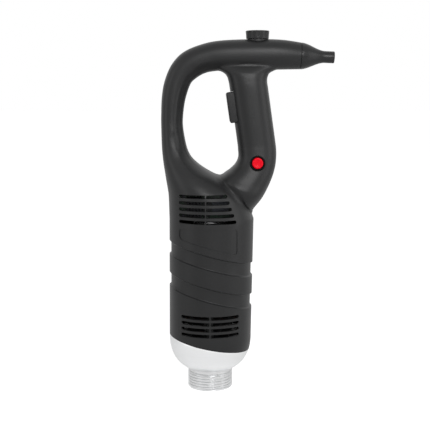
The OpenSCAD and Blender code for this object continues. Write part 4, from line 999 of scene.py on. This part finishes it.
class MOTORUNIT_OT_speed_knob(bpy.types.Operator):
    """Builds the fluted speed knob on top of the bar"""

    bl_idname = "motor_unit.speed_knob"
    bl_label = "Speed knob"

    def execute(self, context):
        settings = context.scene.unit_controls
        grid = knob_grid(settings.knob_diameter / MM, settings.flutes) + [0, 0, KNOB_FOOT]
        piece = capped_piece("speed_dial_knob", placed(grid, *KNOB_FRAME))
        plastic = moulded_plastic("Knob plastic", tinted(context.scene.unit_housing.colour, 1.15), 0.36)
        dressed(piece, plastic, "housing_plastic", "speed_dial", "speed_knob", crisp=28)
        return {"FINISHED"}


def rounded_rectangle(half_y, half_z, corner, steps=8):
    """Points of a rectangle in Y and Z whose corners are quarter circles, as an array of [y, z] rows."""
    angle = np.linspace(0, math.pi / 2, steps)
    arc = corner * np.stack([np.cos(angle), np.sin(angle)], axis=1)
    centre = np.array([half_y - corner, half_z - corner])
    first = centre + arc
    second = np.stack([-first[::-1, 0], first[::-1, 1]], axis=1)
    return np.concatenate([first, second, -first, -second])


def trigger_grid():
    """Rings of the trigger, from the back of its flange out to its face.

    The face's edge is a quarter circle of radius 2.2, and the face itself is hollowed by 0.5 at its middle.
    """
    turn = np.linspace(0, math.pi / 2, 8)
    rows = [(11.0, 12.7, 18.2, 1.0), (10.85, 12.95, 18.45, 1.0), (9.0, 13.0, 18.5, 1.0), (9.0, 13.0, 16.5, 1.6),
            (6.0, 13.0, 16.5, 1.6), (2.0, 13.0, 16.5, 1.6)]
    rows += [(-2.8 - 2.2 * math.sin(t), 13 - 2.2 * (1 - math.cos(t)), 16.5 - 2.2 * (1 - math.cos(t)), 1.6 + 0.6 * t)
             for t in turn]
    rows += [(-5 + 0.5 * (1 - share**2), 10.8 * share + 0.01, 14.3 * share + 0.01, 2.5 * share)
             for share in (0.92, 0.8, 0.65, 0.5, 0.3, 0.1)]
    grid = []
    for x, half_y, half_z, corner in rows:
        outline = rounded_rectangle(half_y, half_z, corner)
        grid.append(np.column_stack([np.full(len(outline), x), outline]))
    return np.stack(grid)


class MOTORUNIT_OT_trigger(bpy.types.Operator):
    """Builds the trigger in the grip's finger side"""

    bl_idname = "motor_unit.trigger"
    bl_label = "Trigger"

    def execute(self, context):
        up = (-math.sin(GRIP_TILT), 0, math.cos(GRIP_TILT))
        side = (math.cos(GRIP_TILT), 0, math.sin(GRIP_TILT))
        piece = capped_piece("trigger_paddle", placed(trigger_grid(), TRIGGER_PLACE, up, side))
        plastic = moulded_plastic("Trigger plastic", tinted(context.scene.unit_housing.colour, 1.25), 0.45)
        dressed(piece, plastic, "housing_plastic", "trigger_unit", "trigger", crisp=35)
        return {"FINISHED"}


class MOTORUNIT_OT_lock_button(bpy.types.Operator):
    """Builds the red lock button and the ring round it, whose extra darkness is painted shade"""

    bl_idname = "motor_unit.lock_button"
    bl_label = "Lock button"

    def execute(self, context):
        settings = context.scene.unit_controls
        bore = settings.button_diameter / 2 / MM
        r = bore - 0.75
        curve = np.linspace(0, math.pi / 2, 8)
        rim = np.stack([r - 1.3 * (1 - np.cos(curve)), 23.3 + 1.3 * np.sin(curve)], axis=1)
        dish = [[r - 1.9, 24.56], [r - 2.6, 24.42], [r - 3.6, 24.28], [r - 5, 24.2], [0.2, 24.18]]
        profile = np.concatenate([[[0.2, 13], [1.8, 13], [2.0, 13.2], [2.0, 16], [r - 0.3, 16], [r, 16.3]], rim, dish])
        button = capped_piece("lock_push_button", placed(turned(profile, 96), *BUTTON_FRAME))
        red = moulded_plastic("Red button plastic", settings.button_colour, 0.3, 1500.0, 0.000008, 0.2, 0.15)
        dressed(button, red, "red_button_plastic", "lock_button_unit", "lock_button", crisp=40)
        section = rounded_loop([[bore, 17.5], [bore, 22.8], [bore + 1.6, 22.8], [bore + 1.6, 21.8],
                                [bore + 0.7, 21.8], [bore + 0.7, 17.5]], 0.35, 5)
        ring = looped_piece("lock_ring", placed(turned(section, 96), *BUTTON_FRAME))
        # Painted shade: the ring is darker and duller than the housing, standing for the shadowed gap round the button.
        black = moulded_plastic("Ring plastic darkened as painted shade", tinted(context.scene.unit_housing.colour, 0.3), 0.5, specular=0.08)
        dressed(ring, black, "bezel_plastic", "motor_unit", "lock_bezel", crisp=50)
        return {"FINISHED"}


def screw_grid():
    """Rings of a housing screw along its own Z: a shank with a pointed end, a domed head and a six-lobed recess.

    The recess's edge lies at 1.25 + 0.22 cos 6a from the axis at angle a.
    """
    count = 72
    angle = 2 * math.pi * np.arange(count) / count
    z = np.linspace(-6.5, 9.5, 65)
    thread = 1.02 + 0.16 * np.clip(1.4 * np.cos(2 * math.pi * (z[:, None] / 1.2 - angle / (2 * math.pi))), -1, 1)
    shank = np.stack([thread * np.cos(angle), thread * np.sin(angle), z[:, None] + 0 * angle], axis=-1)
    head = turned([[1.15, 10.9], [2.3, 11], [2.7, 11.25], [2.7, 11.9], [2.58, 12.35], [2.25, 12.75], [1.8, 12.97],
                   [1.55, 13]], count)
    lobe = 1.25 + 0.22 * np.cos(6 * angle)
    rows = [(1.06, 13), (1.0, 12.95), (0.97, 12.1), (0.5, 12.0), (0.05, 11.95)]
    recess = np.stack([np.stack([k * lobe * np.cos(angle), k * lobe * np.sin(angle), 0 * angle + height], axis=-1)
                       for k, height in rows])
    point = turned([[0.05, -8], [0.6, -7.2]], count)
    return np.concatenate([point, shank, turned([[1.1, 9.6]], count), head, recess])


class MOTORUNIT_OT_screws(bpy.types.Operator):
    """Builds the twelve screws that hold the housing's halves together"""

    bl_idname = "motor_unit.screws"
    bl_label = "Housing screws"

    def execute(self, context):
        grid = screw_grid()
        pieces = [capped_piece("screw", placed(grid, *across(place))) for place in SCREW_PLACES]
        piece = joined("case_screws", pieces)
        steel = turned_metal("Zinc plated steel", (0.56, 0.56, 0.57), 0.34, 1800.0, 0.00001)
        dressed(piece, steel, "screw_steel", "motor_unit", "housing_screws", crisp=40)
        return {"FINISHED"}


# ---------- inside ----------


def coil_grid(radius, wire, height, turns):
    """Rings of a coil spring that stands on its own Z, whose wire has the radius wire.

    At angle a the wire's middle lies at height wire + (height - 2 wire) a / T, where T is the whole angle of its turns.
    """
    angle = np.linspace(0, 2 * math.pi * turns, 32 * turns + 1)[:, None]
    around = np.linspace(0, 2 * math.pi, 10, endpoint=False)
    out = radius + wire * np.cos(around)
    rise = wire + (height - 2 * wire) * angle / angle[-1] + wire * np.sin(around)
    return np.stack([out * np.cos(angle), out * np.sin(angle), rise], axis=-1)


class MOTORUNIT_OT_inner_parts(bpy.types.Operator):
    """Gives the motor, bearings, switch and electronics inside the housing their finishes"""

    bl_idname = "motor_unit.inner_parts"
    bl_label = "Inner parts"

    def execute(self, context):
        black = context.scene.unit_housing.colour
        metal = context.scene.unit_metal.colour
        wire = turned_metal("Spring wire", (0.5, 0.5, 0.52), 0.3, 2400.0)
        finishes = {
            moulded_plastic("Inner black plastic", tinted(black, 1.3), 0.55):
                ["cord_clamp", "air_baffle", "lock_guide"],
            # Painted shade: the brackets take the aluminium colour darkened to 0.06 of itself, so they read as the dark
            # inside of the housing behind the air slots.
            turned_metal("Bracket casting darkened as painted shade", tinted(metal, 0.06), 0.75, 900.0, 0.00004):
                ["lower_bracket", "upper_bracket"],
            turned_metal("Black anodised aluminium", (0.03, 0.03, 0.033), 0.5, 1400.0): ["heat_sink"],
            turned_metal("Plated screws", (0.55, 0.55, 0.56), 0.35, 1800.0):
                ["cap_screws", "collar_screws", "cord_clamp_screws", "frame_bolts", "dial_nut"],
            turned_metal("Blackened screws", (0.05, 0.05, 0.055), 0.45, 1800.0): ["board_screws"],
            wire: ["trigger_spring", "brush_springs", "shaft_clip"],
            turned_metal("Ground shaft steel", (0.6, 0.6, 0.61), 0.28, 3200.0):
                ["rotor_shaft", "drive_socket", "speed_dial_shaft"],
            # Painted shade: the bearing steel is much darker than bare steel, so the bearings read as the dark inside
            # of the housing behind the air slots.
            turned_metal("Bearing steel darkened as painted shade", (0.24, 0.24, 0.25), 0.35, 4000.0, 0.000005):
                [f"{place}_bearing_{part}" for place in ("lower", "upper")
                 for part in ("outer_race", "inner_race", "balls")],
            layered_stack("Stacked laminations", (0.3, 0.31, 0.33), (0.07, 0.07, 0.08), 2000.0, 1.0, 0.42):
                ["stator_core", "armature_core"],
            layered_stack("Varnished winding", (0.42, 0.13, 0.035), (0.1, 0.025, 0.008), 1100.0, 0.35, 0.3, 0.00015):
                ["field_coils", "armature_winding"],
            turned_metal("Copper bars", (0.72, 0.38, 0.2), 0.26, 3600.0): ["commutator"],
            moulded_plastic("Pressed carbon", (0.02, 0.02, 0.021), 0.7, 1600.0, 0.00005): ["carbon_brushes"],
            moulded_plastic("Brown phenolic", (0.09, 0.045, 0.025), 0.38, 900.0, 0.00002): ["brush_holders"],
            moulded_plastic("Switch plastic", (0.04, 0.045, 0.055), 0.45, 1800.0):
                ["trigger_switch", "speed_control_body"],
            moulded_plastic("Natural nylon", (0.7, 0.68, 0.6), 0.42, 1500.0, 0.00002): ["switch_plunger"],
            moulded_plastic("Black nylon", tinted(black, 1.6), 0.5, 1500.0, 0.00002): ["cooling_fan", "terminal_block"],
            circuit_board("Green board"): ["control_board"],
            moulded_plastic("Cast resin", (0.03, 0.034, 0.045), 0.35, 500.0, 0.00005): ["suppression_capacitor"],
            moulded_plastic("Seal rubber", (0.022, 0.022, 0.024), 0.75, 1200.0, 0.00004): ["shaft_seal"],
        }
        for material, nodes in finishes.items():
            for node in nodes:
                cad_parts[node].data.materials.clear()
                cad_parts[node].data.materials.append(material)
        coil = placed(coil_grid(3.2, 0.45, 10.7, 3), (50.8, -5.1, 252), (0, -1, 0), (1, 0, 0))
        spring = capped_piece("lock_return_spring", coil)
        dressed(spring, wire, "spring_steel", "motor_unit", "lock_spring", crisp=60)
        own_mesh(spring)
        return {"FINISHED"}


# ---------- studio ----------


def area_lamp(name, power, width, height, place, aim):
    """A rectangular area lamp at a place in metres, turned towards aim."""
    data = bpy.data.lights.new(name, "AREA")
    data.shape, data.energy, data.size, data.size_y = "RECTANGLE", power, width, height
    lamp = bpy.data.objects.new(name, data)
    lamp.location = place
    lamp.rotation_euler = (Vector(aim) - Vector(place)).to_track_quat("-Z", "Y").to_euler()
    bpy.context.scene.collection.objects.link(lamp)


class MOTORUNIT_OT_studio(bpy.types.Operator):
    """Builds the floor, the soft light and the camera"""

    bl_idname = "motor_unit.studio"
    bl_label = "Studio"

    def execute(self, context):
        scene = context.scene
        settings = scene.unit_stage
        half, level = 12000, -0.4
        corners = [[-half, -half, level], [half, -half, level], [half, half, level], [-half, half, level]]
        floor = new_piece("studio_floor", corners, [[0, 1, 2, 3]])
        floor.data.materials.append(studio_floor(settings.floor_colour))
        world = bpy.data.worlds.new("Studio surroundings")
        scene.world = world
        world.use_nodes = True
        tree = world.node_tree
        rays = new_node(tree, "ShaderNodeLightPath").outputs
        mirrored = math_node(tree, "MAXIMUM", rays["Is Glossy Ray"], rays["Is Transmission Ray"])
        seen = math_node(tree, "MAXIMUM", rays["Is Camera Ray"], mirrored)
        strength = value_between(tree, seen, settings.world_strength, 1.0)
        fed(tree, tree.nodes["Background"], Color=(1, 1, 1, 1), Strength=strength)
        area_lamp("Key light", settings.key_power, 0.6, 0.55, (0.25, -1.195, 0.8), (0.02, 0, 0.25))
        area_lamp("Side light", settings.side_power, 0.55, 0.8, (0.93, -0.38, 0.42), (0, 0, 0.2))
        area_lamp("Far side light", settings.far_power, 0.35, 0.9, (-0.88, -0.47, 0.45), (0, 0, 0.2))
        camera = bpy.data.objects.new("Camera", bpy.data.cameras.new("Camera"))
        camera.data.lens, camera.data.sensor_width = settings.lens / MM, 36
        camera.data.clip_start, camera.data.clip_end = 0.05, 60
        camera.location = (0.0053, -1.0002, 0.332)
        aim = Vector((0.0053, 0, 0.1932))
        camera.rotation_euler = (aim - camera.location).to_track_quat("-Z", "Y").to_euler()
        scene.collection.objects.link(camera)
        scene.camera = camera
        scene.view_settings.view_transform = "Standard"
        return {"FINISHED"}


# ---------- add-on ----------

STEPS = ("housing", "metalwork", "nozzle", "speed_knob", "trigger", "lock_button", "screws", "inner_parts", "studio")


class MOTORUNIT_PT_panel(bpy.types.Panel):
    """Lists the steps that build the motor unit, with their sizes and colours"""

    bl_idname = "MOTORUNIT_PT_panel"
    bl_label = "Motor unit"
    bl_space_type = "VIEW_3D"
    bl_region_type = "UI"
    bl_category = "Motor unit"

    def draw(self, context):
        for name in ("unit_housing", "unit_metal", "unit_controls", "unit_stage"):
            group = getattr(context.scene, name)
            box = self.layout.box()
            for key in group.bl_rna.properties.keys():
                if key not in ("rna_type", "name"):
                    box.prop(group, key)
        for step in STEPS:
            self.layout.operator(f"motor_unit.{step}")


CLASSES = (HousingSettings, ControlSettings, MetalSettings, StageSettings, MOTORUNIT_OT_housing,
           MOTORUNIT_OT_metalwork, MOTORUNIT_OT_nozzle, MOTORUNIT_OT_speed_knob, MOTORUNIT_OT_trigger,
           MOTORUNIT_OT_lock_button, MOTORUNIT_OT_screws, MOTORUNIT_OT_inner_parts, MOTORUNIT_OT_studio,
           MOTORUNIT_PT_panel)
GROUP_PROPERTIES = {"unit_housing": HousingSettings, "unit_metal": MetalSettings,
                    "unit_controls": ControlSettings, "unit_stage": StageSettings}


def register():
    """Registers the classes and puts the settings on the scene."""
    for cls in CLASSES:
        bpy.utils.register_class(cls)
    for name, group in GROUP_PROPERTIES.items():
        setattr(bpy.types.Scene, name, bpy.props.PointerProperty(type=group))


def unregister():
    """Takes the settings off the scene and unregisters the classes."""
    for name in GROUP_PROPERTIES:
        delattr(bpy.types.Scene, name)
    for cls in reversed(CLASSES):
        bpy.utils.unregister_class(cls)


def main():
    """Builds every piece in order."""
    register()
    for step in STEPS:
        if getattr(bpy.ops.motor_unit, step)() != {"FINISHED"}:
            raise RuntimeError(f"the step {step} did not finish")


if __name__ == "__main__":
    main()
